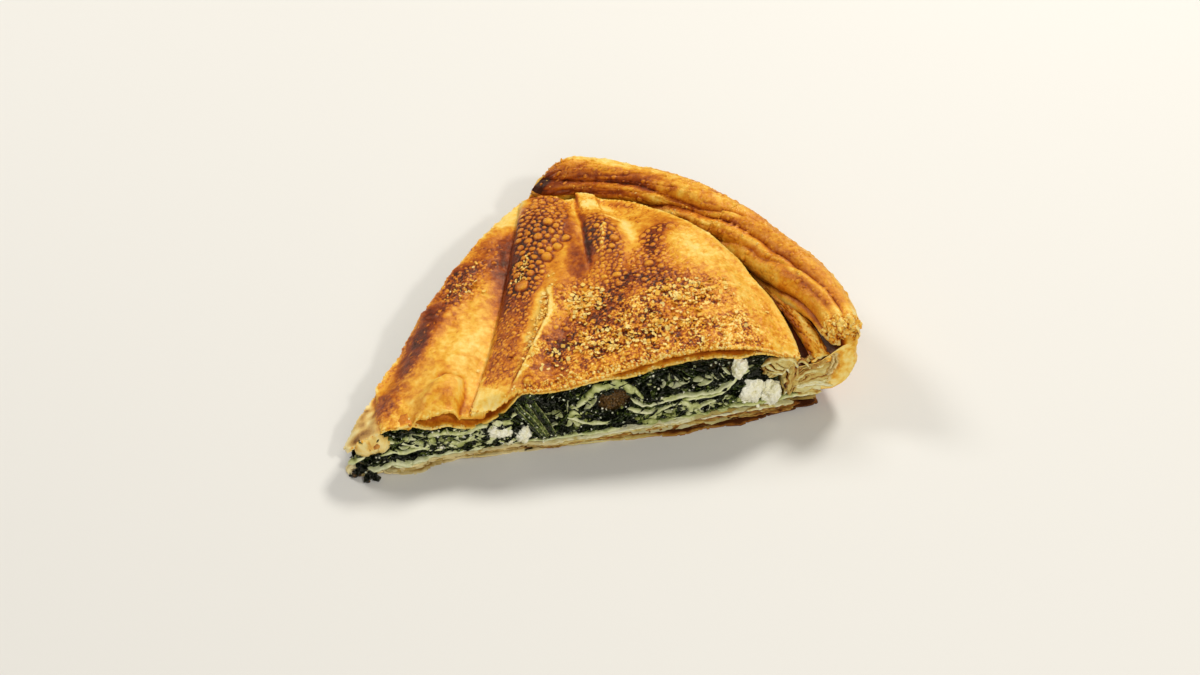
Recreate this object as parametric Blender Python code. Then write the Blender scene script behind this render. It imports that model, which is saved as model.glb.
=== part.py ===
"""A slice of spinach and feta pie: filo sheets over and under a spinach filling, with a twisted rolled rim.

The round pie is cut by two straight cuts that meet at the tip. The long front cut runs along +X and
faces -Y, the back cut leaves the tip at BACK_CUT_DEG, and the rim follows the pan round the far side.
+Z is up, and the base sheets rest on z = 0. Lengths are in millimetres until a mesh is made, and
angles in degrees about the pan.
"""

import math
import random

import bmesh
import bpy
from mathutils import Matrix, Vector, noise

MM = 0.001
GAP = 0.32

# The pan, and where the two cuts meet.
PAN_CENTRE = Vector((-19.1, -46.4))
TIP = Vector((-80.5, -53.2))
BACK_CUT_DEG = 52.0
BACK_CUT = Vector((math.cos(math.radians(BACK_CUT_DEG)), math.sin(math.radians(BACK_CUT_DEG))))
BACK_OUT = Vector((-BACK_CUT.y, BACK_CUT.x))

# Where each layer starts, as a share of the way from the tip to the rim.
BASE_START = 0.035
FILLING_START = 0.05
LOWER_LEAF_START = 0.2
UPPER_LEAF_START = 0.16
TOP_START = 0.055

# Reaches from the pan's centre. The top sheets' reach is given at a few angles.
BASE_REACH = ((-6, 82.5), (84, 82.5))
FILLING_REACH = ((-6, 69.2), (84, 69.2))
LEAF_REACH = ((-6, 65.5), (84, 65.5))
TOP_REACH = (
    (-6, 75.4), (15, 75), (21, 74), (28, 76.2), (38, 77.2), (47, 78.6), (55, 81.4), (64, 84.6), (84, 84.4),
)

# Levels. The crest is the height of the top sheets' upper face at a few places along the front cut.
BASE_THICKNESS = ((-80, 1.9), (-45, 2.3), (5, 3.2), (48, 4.3), (64, 3.4))
LEAF_THICKNESS = 1.0
TOP_THICKNESS = 2.1
DOMING = 1.5
PLEAT_VALLEY_DEPTH = 3.8
PLEAT_BACK_RISE = 1.4
BACK_EDGE_DROP = 2.4
RIM_EDGE_DROP = 3.4
CRUMPLE = 0.8
CRUMPLE_PITCH = 9.0
BASE_LIFT = 1.1
# Low ridges and furrows of the crumpled top: height, x, y, half width and half length.
TOP_RIDGES = (
    (1.5, -50, -47.2, 6, 5), (-1.4, 4.2, 16, 1.8, 14), (1.2, 10.5, 8, 4, 15), (0.9, 12, -30, 16, 12),
)
CREST = (
    (-80, 10), (-74, 14.5), (-68, 17.8), (-60, 18.4), (-50, 20.8), (-36, 21), (-28, 22.6),
    (-12, 25), (12, 28.6), (30, 30), (42, 28.6), (50, 25.6), (58, 21.4),
)

# The upper top sheet stands off the one below it along the front cut, by this much and this deep.
OPENING_HEIGHT = 2.6
OPENING_DEPTH_RIGHT = 7.0
OPENING_DEPTH_LEFT = 3.5

# The pleat folded over the top from the rim to the front cut, and the small tab beside it.
PLEAT_LEFT = ((-10, 37), (-16.2, 15), (-24.2, -8), (-32.3, -30), (-42.6, -52.7))
PLEAT_RIGHT = ((6, 34), (2.5, 14), (-9, -5), (-20, -29), (-32.2, -52.7))
PLEAT_RISE = 2.9
TAB_LEFT = ((6.2, 34.4), (5.2, 27))
TAB_RIGHT = ((12.8, 32.6), (12.2, 25.4))
TAB_RISE = 1.5
FOLD_SHAPE = ((0, 0.55), (0.15, 0.95), (0.35, 1), (0.7, 0.45), (1, -0.25))

# The rolled rim: the section of the folded sheets as (reach, height), and the rope at a few angles.
RIM_SECTION = (
    (70, 8.6), (70, 14.6), (73, 16.8), (81.5, 17.6), (86, 21), (90.5, 24), (93.8, 21.5), (94.9, 14.5),
    (92.6, 10.2), (89.2, 6.5), (86, 5.2), (77, 6.2),
)
RIM_BULGE = ((-6, 0), (40, 0.2), (50, 1.6), (62, 4), (72, 5.6), (84, 4))
ROPE_REACH = (
    (-8, 88.9), (5, 88.2), (15, 86.8), (22, 86.6), (30, 87.4),
    (40, 88.2), (50, 90.6), (60, 93.2), (72, 95.2), (86, 94.4),
)
ROPE_RADIUS = (
    (-8, 5.9), (5, 7.4), (15, 8.9), (22, 9.0), (30, 8.6),
    (40, 8.3), (50, 8.4), (60, 8.2), (72, 7.4), (84, 6.2),
)
ROPE_HEIGHT = ((-8, 25.6), (15, 22.8), (40, 22.6), (60, 22.4), (86, 23.4))
ROPE_START_DEG = -9.0
ROPE_END_DEG = 92.0
ROPE_STEPS = 34
ROPE_TURN_DEG = -400.0
ROPE_STRANDS = 3
POINTS_PER_STRAND = 7
STRAND_INNER_RADIUS = 0.72
STRAND_BULGE = 0.32
RING_STEPS = 64

# Wilted spinach that shows at the front cut: x, z, length and width of each shred.
FRONT_SHREDS = (
    (-19, 19.4, 11, 3.4), (-5, 20.6, 12, 3.2), (9, 22.2, 11, 3.4), (22, 22.4, 12, 3.6), (30, 15.6, 9, 3),
    (24, 7, 10, 2.6), (2, 6.2, 11, 2.4), (-52, 9, 9, 3), (-65, 8, 8, 2.8),
)
BACK_SHRED_COUNT = 7
STALK_TOP = (-27.0, 17.0)
STALK_FOOT = (-20.6, 5.4)
STALK_COUNT = 3

# Lumps of cheese at the front cut: name, x, z, half width, half height and a seed.
FRONT_CHEESE = (
    ("feta_upper", 38.0, 19.6, 2.1, 3.4, 3),
    ("feta_right", 41.4, 9.8, 2.8, 3.6, 5),
    ("feta_rim", 48.0, 10.6, 1.9, 3.3, 8),
    ("feta_stalk", -25.4, 7.4, 2.4, 2.6, 13),
    ("feta_middle", -33.6, 10.2, 2.9, 2.4, 17),
)
# Lumps at the back cut: name, distance from the tip, height, half width, half height and a seed.
BACK_CHEESE = (
    ("feta_back_tip", 46.0, 10.8, 3.2, 2.4, 21),
    ("feta_back_rim", 88.0, 14.0, 3.4, 3.0, 23),
)


def clear_scene():
    for old in list(bpy.data.objects):
        bpy.data.objects.remove(old, do_unlink=True)


def new_collection(name):
    group = bpy.data.collections.new(name)
    bpy.context.scene.collection.children.link(group)
    return group


def material(name, colour, roughness):
    made = bpy.data.materials.new(name)
    made.use_nodes = True
    shader = made.node_tree.nodes["Principled BSDF"]
    shader.inputs["Base Color"].default_value = (*colour, 1)
    shader.inputs["Roughness"].default_value = roughness
    shader.inputs["Metallic"].default_value = 0
    return made


def add_object(name, mesh, group, finish):
    made = bpy.data.objects.new(name, mesh)
    mesh.materials.clear()
    mesh.materials.append(finish)
    group.objects.link(made)
    return made


def helper(mesh):
    """An object in no collection, for one Boolean."""
    return bpy.data.objects.new(mesh.name, mesh)


def to_mesh(name, bm):
    """A closed mesh in metres, facing out, from a bmesh in millimetres.

    It is made of triangles, so that a grown copy of it has the same faces."""
    bmesh.ops.triangulate(bm, faces=bm.faces)
    bmesh.ops.recalc_face_normals(bm, faces=bm.faces)
    bmesh.ops.scale(bm, vec=(MM, MM, MM), verts=bm.verts)
    mesh = bpy.data.meshes.new(name)
    bm.to_mesh(mesh)
    bm.free()
    return mesh


def smooth(t):
    t = min(1.0, max(0.0, t))
    return t * t * (3 - 2 * t)


def through(knots, x):
    """A line through a few (x, value) knots."""
    if x <= knots[0][0]:
        return knots[0][1]
    for (x0, v0), (x1, v1) in zip(knots, knots[1:]):
        if x <= x1:
            return v0 + (v1 - v0) * (x - x0) / (x1 - x0)
    return knots[-1][1]


def along(path, share):
    """The place at a share of the way along a few plan points."""
    place = share * (len(path) - 1)
    index = min(int(place), len(path) - 2)
    return Vector(path[index]).lerp(Vector(path[index + 1]), place - index)


def hump(distance, width):
    return math.exp(-((distance / width) ** 2))


def wander(x, seed, pitch=9.0):
    """A repeatable wave between about -1 and 1, for the uneven line of a cut."""
    return noise.noise(Vector((x / pitch, seed * 7.31, 0.5))) * 1.6


def inside_front(y):
    return y - TIP.y


def inside_back(x, y):
    return -(Vector((x, y)) - TIP).dot(BACK_OUT)


def cut_angles(reach):
    """The angles about the pan's centre where a circle of this reach meets the front and the back cut."""
    front = math.asin((TIP.y - PAN_CENTRE.y) / reach)
    to_tip = TIP - PAN_CENTRE
    b = to_tip.dot(BACK_CUT)
    run = -b + math.sqrt(b * b - to_tip.length_squared + reach * reach)
    end = to_tip + BACK_CUT * run
    return front, math.atan2(end.y, end.x)


def rim_point(angle, reach):
    return PAN_CENTRE + Vector((math.cos(angle), math.sin(angle))) * reach


def pleat_offset(x, y):
    """How far to the right of the pleat's left edge a place is."""
    share = (PLEAT_LEFT[0][1] - y) / (PLEAT_LEFT[0][1] - PLEAT_LEFT[-1][1])
    return x - along(PLEAT_LEFT, min(1.0, max(0.0, share))).x


def top_height(x, y):
    """Height of the upper face of the top sheets, without the pleat that lies on them."""
    height = through(CREST, x)
    front = inside_front(y)
    height += DOMING * smooth(front / 26) - 0.6 * hump(front, 2.5)
    offset = pleat_offset(x, y)
    deep = 0.3 + 0.7 * smooth((30 - y) / 60)
    height -= PLEAT_VALLEY_DEPTH * deep * hump(offset - 1, 6.5)
    height += PLEAT_BACK_RISE * deep * hump(offset - 16, 5)
    for rise, ridge_x, ridge_y, half_width, half_length in TOP_RIDGES:
        height += rise * hump(x - ridge_x, half_width) * hump(y - ridge_y, half_length)
    height += CRUMPLE * noise.noise(Vector((x, y, 20)) / CRUMPLE_PITCH)
    height -= 1.7 * hump(x - 20 + 0.12 * y, 5) * smooth((y + 14) / 18)
    back_drop = BACK_EDGE_DROP * smooth((x + 76) / 14) * smooth((-2 - x) / 24)
    height -= back_drop * hump(inside_back(x, y), 4.5)
    reach = (Vector((x, y)) - PAN_CENTRE).length
    height -= RIM_EDGE_DROP * smooth((reach - 62) / 19)
    return height


def opening(x, y):
    """Share of the full opening between the two top sheets at this place."""
    right = smooth((x + 6) / 12) * smooth((46 - x) / 10)
    left = 0.45 * smooth((x + 66) / 6) * smooth((-45 - x) / 6)
    return (right + left) * hump(inside_front(y), 13)


def opening_depth(x):
    right = smooth((x + 8) / 10) * smooth((48 - x) / 8)
    left = smooth((x + 67) / 6) * smooth((-46 - x) / 6)
    return OPENING_DEPTH_RIGHT * right + OPENING_DEPTH_LEFT * left


def top_underside(x, y):
    return top_height(x, y) - TOP_THICKNESS - OPENING_HEIGHT * opening(x, y)


def filling_top(x, y):
    """Upper face of the filling, low enough to clear the top sheets between its own coarser points."""
    near = ((0, 0), (3, 0), (-3, 0), (0, 3), (0, -3))
    return min(top_underside(x + dx, y + dy) for dx, dy in near) - GAP


def base_top(x, y):
    edge = min(inside_front(y), inside_back(x, y))
    return through(BASE_THICKNESS, x) + 0.5 * wander(x, 3, 14) * hump(edge, 8)


def base_bottom(x, y):
    """Flat where it rests, with the cut edges lifted here and there."""
    edge = min(inside_front(y), inside_back(x, y))
    lift = BASE_LIFT * wander(x + y, 5, 12) * hump(edge, 2.6)
    return lift if lift > 0.02 else 0.0


def lower_leaf(x, y):
    """Middle height of the lower inner filo leaf."""
    room = filling_top(x, y) - base_top(x, y)
    wave = 1.2 * math.sin((x + 12) / 7.5) + 0.8 * math.sin((x + 0.8 * y) / 11)
    return base_top(x, y) + 0.27 * room + wave * smooth(room / 16)


def upper_leaf(x, y):
    """Middle height of the upper inner filo leaf, which arches over a hollow and climbs towards the rim."""
    room = filling_top(x, y) - base_top(x, y)
    near_front = hump(inside_front(y), 22)
    wave = 4.4 * hump(x + 1, 6.5) * near_front + 0.9 * math.sin((x - 0.6 * y) / 8)
    climb = 3.6 * smooth((x - 32) / 9) * near_front
    low = lower_leaf(x, y) + LEAF_THICKNESS + 1.6
    return max(low, base_top(x, y) + 0.46 * room + (wave + climb) * smooth(room / 16))


def slice_plan(u, v, reach, outs, seed):
    """Plan of a layer: u runs from the tip to the rim, and v from the front cut to the back cut."""
    front, back = cut_angles(through(reach, 40))
    angle = front + (back - front) * v
    rim = rim_point(angle, through(reach, math.degrees(angle)))
    point = TIP + (rim - TIP) * u
    clear_of_tip = smooth(u * 7)
    front_push = (outs[0] + 0.6 * wander(point.x, seed)) * (1 - v) ** 6 * clear_of_tip
    back_push = (outs[1] + 0.7 * wander(point.x + point.y, seed + 1)) * v**6 * clear_of_tip
    return point + Vector((0, -1)) * front_push + BACK_OUT * back_push


def raise_faces(bm, low, high):
    """Extrudes a flat grid into a slab and sets the heights of its two faces. Gives the upper points."""
    made = bmesh.ops.extrude_face_region(bm, geom=bm.faces[:])
    raised = {part for part in made["geom"] if isinstance(part, bmesh.types.BMVert)}
    for vert in bm.verts:
        vert.co.z = (high if vert in raised else low)(vert.co.x, vert.co.y)
    return raised


def layer(name, reach, outs, low, high, cells, seed, start, groove=None):
    """One layer of the pie: a grid laid out over the slice and raised from its lower to its upper face.

    groove gives how far the middle of the front wall is pushed in at x, so that two lips stand out."""
    bm = bmesh.new()
    bmesh.ops.create_grid(bm, x_segments=cells[0], y_segments=cells[1], size=0.5)
    for vert in bm.verts:
        across = vert.co.y + 0.5
        across -= 0.11 * math.sin(2 * math.pi * across)
        vert.co.xy = slice_plan(start + (1 - start) * (vert.co.x + 0.5), across, reach, outs, seed)
    raised = raise_faces(bm, low, high)
    if groove:
        walls = [e for e in bm.edges if (e.verts[0] in raised) != (e.verts[1] in raised)]
        made = bmesh.ops.subdivide_edges(bm, edges=walls, cuts=1)
        for part in made["geom_inner"]:
            if isinstance(part, bmesh.types.BMVert) and inside_front(part.co.y) < 4:
                part.co.y += groove(part.co.x)
    return to_mesh(name, bm)


def leaf(name, middle, start, seed):
    """An inner filo leaf, which stands a little out of the filling at both cuts."""
    low = lambda x, y: middle(x, y) - LEAF_THICKNESS / 2
    high = lambda x, y: middle(x, y) + LEAF_THICKNESS / 2
    return layer(name, LEAF_REACH, (0.5, 0.4), low, high, (20, 6), seed, start)


def room(name, front, low, high):
    """A slab over the whole slice that clears the filling from the sheets above or below it."""
    bm = bmesh.new()
    bmesh.ops.create_grid(bm, x_segments=22, y_segments=12, size=0.5)
    for vert in bm.verts:
        vert.co.x = -84 + (vert.co.x + 0.5) * 138
        vert.co.y = front + (vert.co.y + 0.5) * 86
    raise_faces(bm, low, high)
    return helper(to_mesh(name, bm))


def fold(name, left, right, rise, cells):
    """A fold lying on the top sheets: steep along its left edge, and running into them on its right."""
    bm = bmesh.new()
    bmesh.ops.create_grid(bm, x_segments=cells[0], y_segments=cells[1], size=0.5)
    lift = bm.verts.layers.float.new("lift")
    for vert in bm.verts:
        share, across = vert.co.x + 0.5, vert.co.y + 0.5
        place = along(left, share).lerp(along(right, share), across)
        ragged = (1 - across) * wander(share * 90, 31)
        vert.co.xy = place + Vector((0.5 * ragged, 0))
        vert[lift] = rise * through(FOLD_SHAPE, across) + 0.3 * ragged
    made = bmesh.ops.extrude_face_region(bm, geom=bm.faces[:])
    raised = {part for part in made["geom"] if isinstance(part, bmesh.types.BMVert)}
    for vert in bm.verts:
        vert.co.z = top_height(*vert.co.xy) + (vert[lift] if vert in raised else -0.45 * TOP_THICKNESS)
    return helper(to_mesh(name, bm))


def boolean(target, operation, others):
    """Applies one Boolean with a collection to the target, and removes that collection's objects."""
    group = new_collection(target.name + "_others")
    for other in others:
        group.objects.link(other)
    step = target.modifiers.new(operation.lower(), "BOOLEAN")
    step.operation = operation
    step.operand_type = "COLLECTION"
    step.collection = group
    step.solver = "EXACT"
    bpy.context.view_layer.update()
    graph = bpy.context.evaluated_depsgraph_get()
    result = bpy.data.meshes.new_from_object(target.evaluated_get(graph))
    target.modifiers.remove(step)
    finish = target.data.materials[0]
    target.data = result
    result.materials.clear()
    result.materials.append(finish)
    for other in others:
        bpy.data.objects.remove(other, do_unlink=True)
    bpy.data.collections.remove(group)


def keep_largest(target):
    """Drops scraps that a cut has left loose."""
    bm = bmesh.new()
    bm.from_mesh(target.data)
    left, islands = set(bm.verts), []
    while left:
        found, front = set(), [left.pop()]
        while front:
            vert = front.pop()
            found.add(vert)
            near = [e.other_vert(vert) for e in vert.link_edges if e.other_vert(vert) in left]
            left.difference_update(near)
            front.extend(near)
        islands.append(found)
    islands.sort(key=len)
    for scrap in islands[:-1]:
        bmesh.ops.delete(bm, geom=list(scrap), context="VERTS")
    bm.to_mesh(target.data)
    bm.free()


def socket(mesh):
    """A copy of a mesh, grown so that what it cuts stays a small gap away from it."""
    bm = bmesh.new()
    bm.from_mesh(mesh)
    bm.normal_update()
    for vert, normal in [(v, v.normal.copy()) for v in bm.verts]:
        vert.co += normal * GAP * 1.4 * MM
    copy = bpy.data.meshes.new(mesh.name + "_socket")
    bm.to_mesh(copy)
    bm.free()
    return helper(copy)


def lump(name, centre, radii, seed):
    """A torn lump of cheese: a sphere with an uneven, faceted skin."""
    bm = bmesh.new()
    bmesh.ops.create_icosphere(bm, subdivisions=2, radius=1)
    for vert in bm.verts:
        rough = 1 + 0.34 * noise.noise(vert.co * 1.3 + Vector((seed * 3.7, 0, 0)))
        rough += 0.16 * noise.noise(vert.co * 3.1 + Vector((0, seed * 2.3, 0)))
        vert.co = Vector(centre) + Vector([c * r * rough for c, r in zip(vert.co, radii)])
    return to_mesh(name, bm)


def cheese_lumps():
    lumps = []
    for name, x, z, half_width, half_height, seed in FRONT_CHEESE:
        centre = (x, TIP.y + 1.7, z)
        lumps.append(lump(name, centre, (half_width, 2.5, half_height), seed))
    for name, run, z, half_width, half_height, seed in BACK_CHEESE:
        place = TIP + BACK_CUT * run - BACK_OUT * 1.7
        lumps.append(lump(name, (*place, z), (half_width, half_width * 0.8, half_height), seed))
    return lumps


def tube(name, points, radius):
    """A stalk or a rolled shred along a few points, thinner at its ends."""
    curve = bpy.data.curves.new(name, "CURVE")
    curve.dimensions = "3D"
    curve.bevel_depth = radius * MM
    curve.bevel_resolution = 1
    curve.use_fill_caps = True
    spline = curve.splines.new("POLY")
    spline.points.add(len(points) - 1)
    for i, (target, place) in enumerate(zip(spline.points, points)):
        target.co = (*(Vector(place) * MM), 1)
        target.radius = 0.7 if i in (0, len(points) - 1) else 1
    return curve_to_object(curve, name)


def curve_to_object(curve, name):
    """The curve's own tube as a closed mesh object in no collection."""
    holder = bpy.data.objects.new(name + "_curve", curve)
    bpy.context.scene.collection.objects.link(holder)
    bpy.context.view_layer.update()
    graph = bpy.context.evaluated_depsgraph_get()
    mesh = bpy.data.meshes.new_from_object(holder.evaluated_get(graph))
    bpy.data.objects.remove(holder, do_unlink=True)
    bm = bmesh.new()
    bm.from_mesh(mesh)
    bmesh.ops.remove_doubles(bm, verts=bm.verts, dist=1e-6)
    bmesh.ops.recalc_face_normals(bm, faces=bm.faces)
    bm.to_mesh(mesh)
    bm.free()
    return bpy.data.objects.new(name, mesh)


def shred(name, centre, length, width, turn, lean, seed):
    """A wilted spinach shred: a bar that is bent, twisted and thinner at its ends."""
    bm = bmesh.new()
    bmesh.ops.create_cube(bm, size=1)
    long_edges = [e for e in bm.edges if abs(e.verts[0].co.x - e.verts[1].co.x) > 0.5]
    bmesh.ops.subdivide_edges(bm, edges=long_edges, cuts=3, use_grid_fill=True)
    turned = Matrix.Rotation(turn, 3, "Z") @ Matrix.Rotation(lean, 3, "Y")
    for vert in bm.verts:
        out, deep, up = vert.co
        bend = 0.9 * math.sin(out * 5 + seed)
        thick = up * width * (1 - 2.4 * out * out)
        bar = Vector((out * length, deep * 2.4 + 0.3 * bend, thick + bend))
        vert.co = Vector(centre) + turned @ bar
    return helper(to_mesh(name, bm))


def spinach_pieces():
    """Wilted shreds and a bundle of stalks that stand out of the front and back cuts."""
    draw = random.Random(11)
    pieces = []
    for i, (x, z, length, width) in enumerate(FRONT_SHREDS):
        lean = math.radians(draw.uniform(-25, 20))
        pieces.append(shred(f"front_shred_{i}", (x, TIP.y + 0.6, z), length, width, 0, lean, i))
    for i in range(BACK_SHRED_COUNT):
        place = TIP + BACK_CUT * (26 + 10.5 * i) - BACK_OUT * 0.4
        above = filling_top(*place) - base_top(*place)
        centre = (*place, base_top(*place) + above * (0.76 if i % 2 else 0.3))
        lean = math.radians(draw.uniform(-20, 20))
        length, width = draw.uniform(7, 10), min(3.2, above / 4)
        pieces.append(shred(f"back_shred_{i}", centre, length, width, math.radians(BACK_CUT_DEG), lean, i))
    for i in range(STALK_COUNT):
        top = Vector((STALK_TOP[0] + 2.1 * i, TIP.y - 0.1, STALK_TOP[1] - 0.5 * i))
        foot = Vector((STALK_FOOT[0] + 1.8 * i, TIP.y - 0.2, STALK_FOOT[1] + 0.4 * i))
        middle = (top + foot) / 2 + Vector((0.8, -0.3, 0))
        pieces.append(tube(f"stalk_{i}", (top, middle, foot), 1.0))
    return pieces


def tip_scraps():
    """Two shreds of spinach that hang out of the tip, down to the plate."""
    y = TIP.y
    first = [(-69, y + 5, 6.2), (-73.0, y - 0.6, 5.6), (-74.4, y - 3.0, 3.1), (-74.0, y - 3.7, 1.2)]
    second = [(-71, y + 6, 6.6), (-77.6, y - 0.2, 5.8), (-79.4, y - 2.4, 3.4)]
    return [tube("scrap_0", first, 1.2), tube("scrap_1", second, 1.0)]


def slice_block():
    """The space between the two cuts, as one tall prism."""
    far = 400
    bm = bmesh.new()
    corners = (TIP, TIP + Vector((far, 0)), TIP + Vector((far, far)), TIP + BACK_CUT * far)
    face = bm.faces.new([bm.verts.new((*corner, 0)) for corner in corners])
    made = bmesh.ops.extrude_face_region(bm, geom=[face])
    top = [part for part in made["geom"] if isinstance(part, bmesh.types.BMVert)]
    bmesh.ops.translate(bm, vec=(0, 0, 60), verts=top)
    return helper(to_mesh("slice_block", bm))


def rim_ring():
    """The folded sheets under the rope: a section spun round the pan and bulged to the pie's outline."""
    bm = bmesh.new()
    verts = [bm.verts.new((reach, 0, height)) for reach, height in RIM_SECTION]
    for a, b in zip(verts, verts[1:] + verts[:1]):
        bm.edges.new((a, b))
    section = bm.verts[:] + bm.edges[:]
    bmesh.ops.spin(bm, geom=section, axis=(0, 0, 1), angle=2 * math.pi, steps=RING_STEPS)
    bmesh.ops.remove_doubles(bm, verts=bm.verts, dist=0.001)
    for vert in bm.verts:
        angle = math.atan2(vert.co.y, vert.co.x)
        reach = vert.co.xy.length
        outer = smooth((reach - 72) / 20)
        reach += outer * through(RIM_BULGE, math.degrees(angle))
        reach += outer * 0.7 * math.sin(9 * angle + vert.co.z / 3)
        vert.co.xy = rim_point(angle, reach)
    return to_mesh("rolled_rim", bm)


def rope_profile():
    """Section of the twisted overhang at unit radius: overlapping strands with creases between them."""
    curve = bpy.data.curves.new("rope_profile", "CURVE")
    curve.dimensions = "2D"
    spline = curve.splines.new("POLY")
    count = ROPE_STRANDS * POINTS_PER_STRAND
    spline.points.add(count - 1)
    for i, target in enumerate(spline.points):
        turn = 2 * math.pi * i / count
        share = (i % POINTS_PER_STRAND) / (POINTS_PER_STRAND - 1)
        radius = STRAND_INNER_RADIUS + STRAND_BULGE * math.sin(math.pi * share**0.7) ** 0.7
        target.co = (radius * math.cos(turn) * MM, radius * math.sin(turn) * MM, 0, 1)
    spline.use_cyclic_u = True
    return bpy.data.objects.new("rope_profile", curve)


def rope():
    """The sheets' twisted overhang: the profile swept along the rim, turning and swelling as it goes."""
    profile = rope_profile()
    bpy.context.scene.collection.objects.link(profile)
    curve = bpy.data.curves.new("rope", "CURVE")
    curve.dimensions = "3D"
    curve.twist_mode = "Z_UP"
    curve.bevel_mode = "OBJECT"
    curve.bevel_object = profile
    curve.use_fill_caps = True
    spline = curve.splines.new("POLY")
    spline.points.add(ROPE_STEPS)
    for i, target in enumerate(spline.points):
        degrees = ROPE_START_DEG + (ROPE_END_DEG - ROPE_START_DEG) * i / ROPE_STEPS
        place = rim_point(math.radians(degrees), through(ROPE_REACH, degrees))
        height = through(ROPE_HEIGHT, degrees) + 0.5 * math.sin(degrees / 7)
        target.co = (place.x * MM, place.y * MM, height * MM, 1)
        target.tilt = math.radians(ROPE_TURN_DEG) * i / ROPE_STEPS
        target.radius = through(ROPE_RADIUS, degrees) * (1 + 0.03 * math.sin(degrees / 4))
    made = curve_to_object(curve, "rope")
    bpy.data.objects.remove(profile, do_unlink=True)
    return made


def centre_on_origin(group):
    """Moves every piece so that the whole box is centred over the origin, and gives the move in metres."""
    points = [vert.co for obj in group.objects for vert in obj.data.vertices]
    middle_x = (min(p.x for p in points) + max(p.x for p in points)) / 2
    middle_y = (min(p.y for p in points) + max(p.y for p in points)) / 2
    for obj in group.objects:
        obj.data.transform(Matrix.Translation((-middle_x, -middle_y, 0)))
    return middle_x, middle_y


def main():
    clear_scene()
    pie = new_collection("spinach_pie_slice")
    browned = material("browned_filo", (0.62, 0.30, 0.07), 0.42)
    pale = material("pale_filo", (0.66, 0.56, 0.26), 0.5)
    green = material("cooked_spinach", (0.03, 0.05, 0.012), 0.3)
    white = material("feta", (0.80, 0.78, 0.62), 0.6)

    base = layer("base_filo", BASE_REACH, (1.2, 0.9), base_bottom, base_top, (24, 6), 2, BASE_START)
    add_object("base_filo", base, pie, pale)

    outs = (0.3, 1.6)
    top = layer(
        "top_filo", TOP_REACH, outs, top_underside, top_height, (34, 16), 4, TOP_START, opening_depth
    )
    top = add_object("top_filo", top, pie, browned)
    pleat = fold("pleat", PLEAT_LEFT, PLEAT_RIGHT, PLEAT_RISE, (15, 5))
    tab = fold("tab", TAB_LEFT, TAB_RIGHT, TAB_RISE, (3, 3))
    boolean(top, "UNION", [pleat, tab])
    keep_largest(top)

    lumps = cheese_lumps()
    cuts = []
    leaves = (
        ("inner_filo_lower", lower_leaf, LOWER_LEAF_START, 6),
        ("inner_filo_upper", upper_leaf, UPPER_LEAF_START, 8),
    )
    for name, middle, start, seed in leaves:
        sheet = add_object(name, leaf(name, middle, start, seed), pie, pale)
        cuts.append(socket(sheet.data))
        boolean(sheet, "DIFFERENCE", [socket(mesh) for mesh in lumps])
        keep_largest(sheet)
    cuts.append(room("top_room", TIP.y - 6, filling_top, lambda x, y: filling_top(x, y) + 14))
    cuts.append(room("base_room", TIP.y - 1.9, lambda x, y: -4, lambda x, y: base_top(x, y) + GAP))

    high = lambda x, y: filling_top(x, y) + 3
    outs = (-0.8, -0.8)
    filling = layer(
        "spinach_filling", FILLING_REACH, outs, lambda x, y: 1, high, (26, 6), 10, FILLING_START
    )
    filling = add_object("spinach_filling", filling, pie, green)
    boolean(filling, "UNION", spinach_pieces() + tip_scraps())
    boolean(filling, "DIFFERENCE", cuts + [socket(mesh) for mesh in lumps])
    keep_largest(filling)
    for mesh in lumps:
        add_object(mesh.name, mesh, pie, white)

    rim = add_object("rolled_rim", rim_ring(), pie, browned)
    boolean(rim, "UNION", [rope()])
    boolean(rim, "INTERSECT", [slice_block()])
    keep_largest(rim)
    return centre_on_origin(pie)


SHIFT = main()
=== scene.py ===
import itertools
import math

import bpy
import numpy as np
from mathutils import Matrix, Vector


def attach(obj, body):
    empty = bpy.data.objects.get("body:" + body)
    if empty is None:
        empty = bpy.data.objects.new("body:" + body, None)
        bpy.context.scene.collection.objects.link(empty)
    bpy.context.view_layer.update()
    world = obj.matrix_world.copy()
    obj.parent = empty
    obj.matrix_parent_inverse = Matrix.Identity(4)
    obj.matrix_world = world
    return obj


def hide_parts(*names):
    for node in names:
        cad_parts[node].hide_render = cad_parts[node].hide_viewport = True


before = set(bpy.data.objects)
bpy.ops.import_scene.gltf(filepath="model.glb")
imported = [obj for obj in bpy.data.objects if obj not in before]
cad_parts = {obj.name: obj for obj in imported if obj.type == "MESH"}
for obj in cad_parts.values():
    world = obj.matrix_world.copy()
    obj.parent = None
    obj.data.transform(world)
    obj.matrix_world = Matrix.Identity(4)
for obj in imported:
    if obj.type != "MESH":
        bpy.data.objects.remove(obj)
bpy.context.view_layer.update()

# Camera: a 70 mm lens above the front cut, turned a little towards the rim, as in the photograph.
# The pie is drawn in millimetres about its pan, and DRAWING_MOVE puts that drawing over the part's origin.
MM = 0.001
DRAWING_MOVE = (1.843, 2.314)
VIEW_TURN = math.radians(12.6)
VIEW_DROP = math.radians(40.47)
VIEW_DISTANCE = 725.5
VIEW_CENTRE = (5.5 + DRAWING_MOVE[0], -8.2 + DRAWING_MOVE[1], 0.0)

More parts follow.
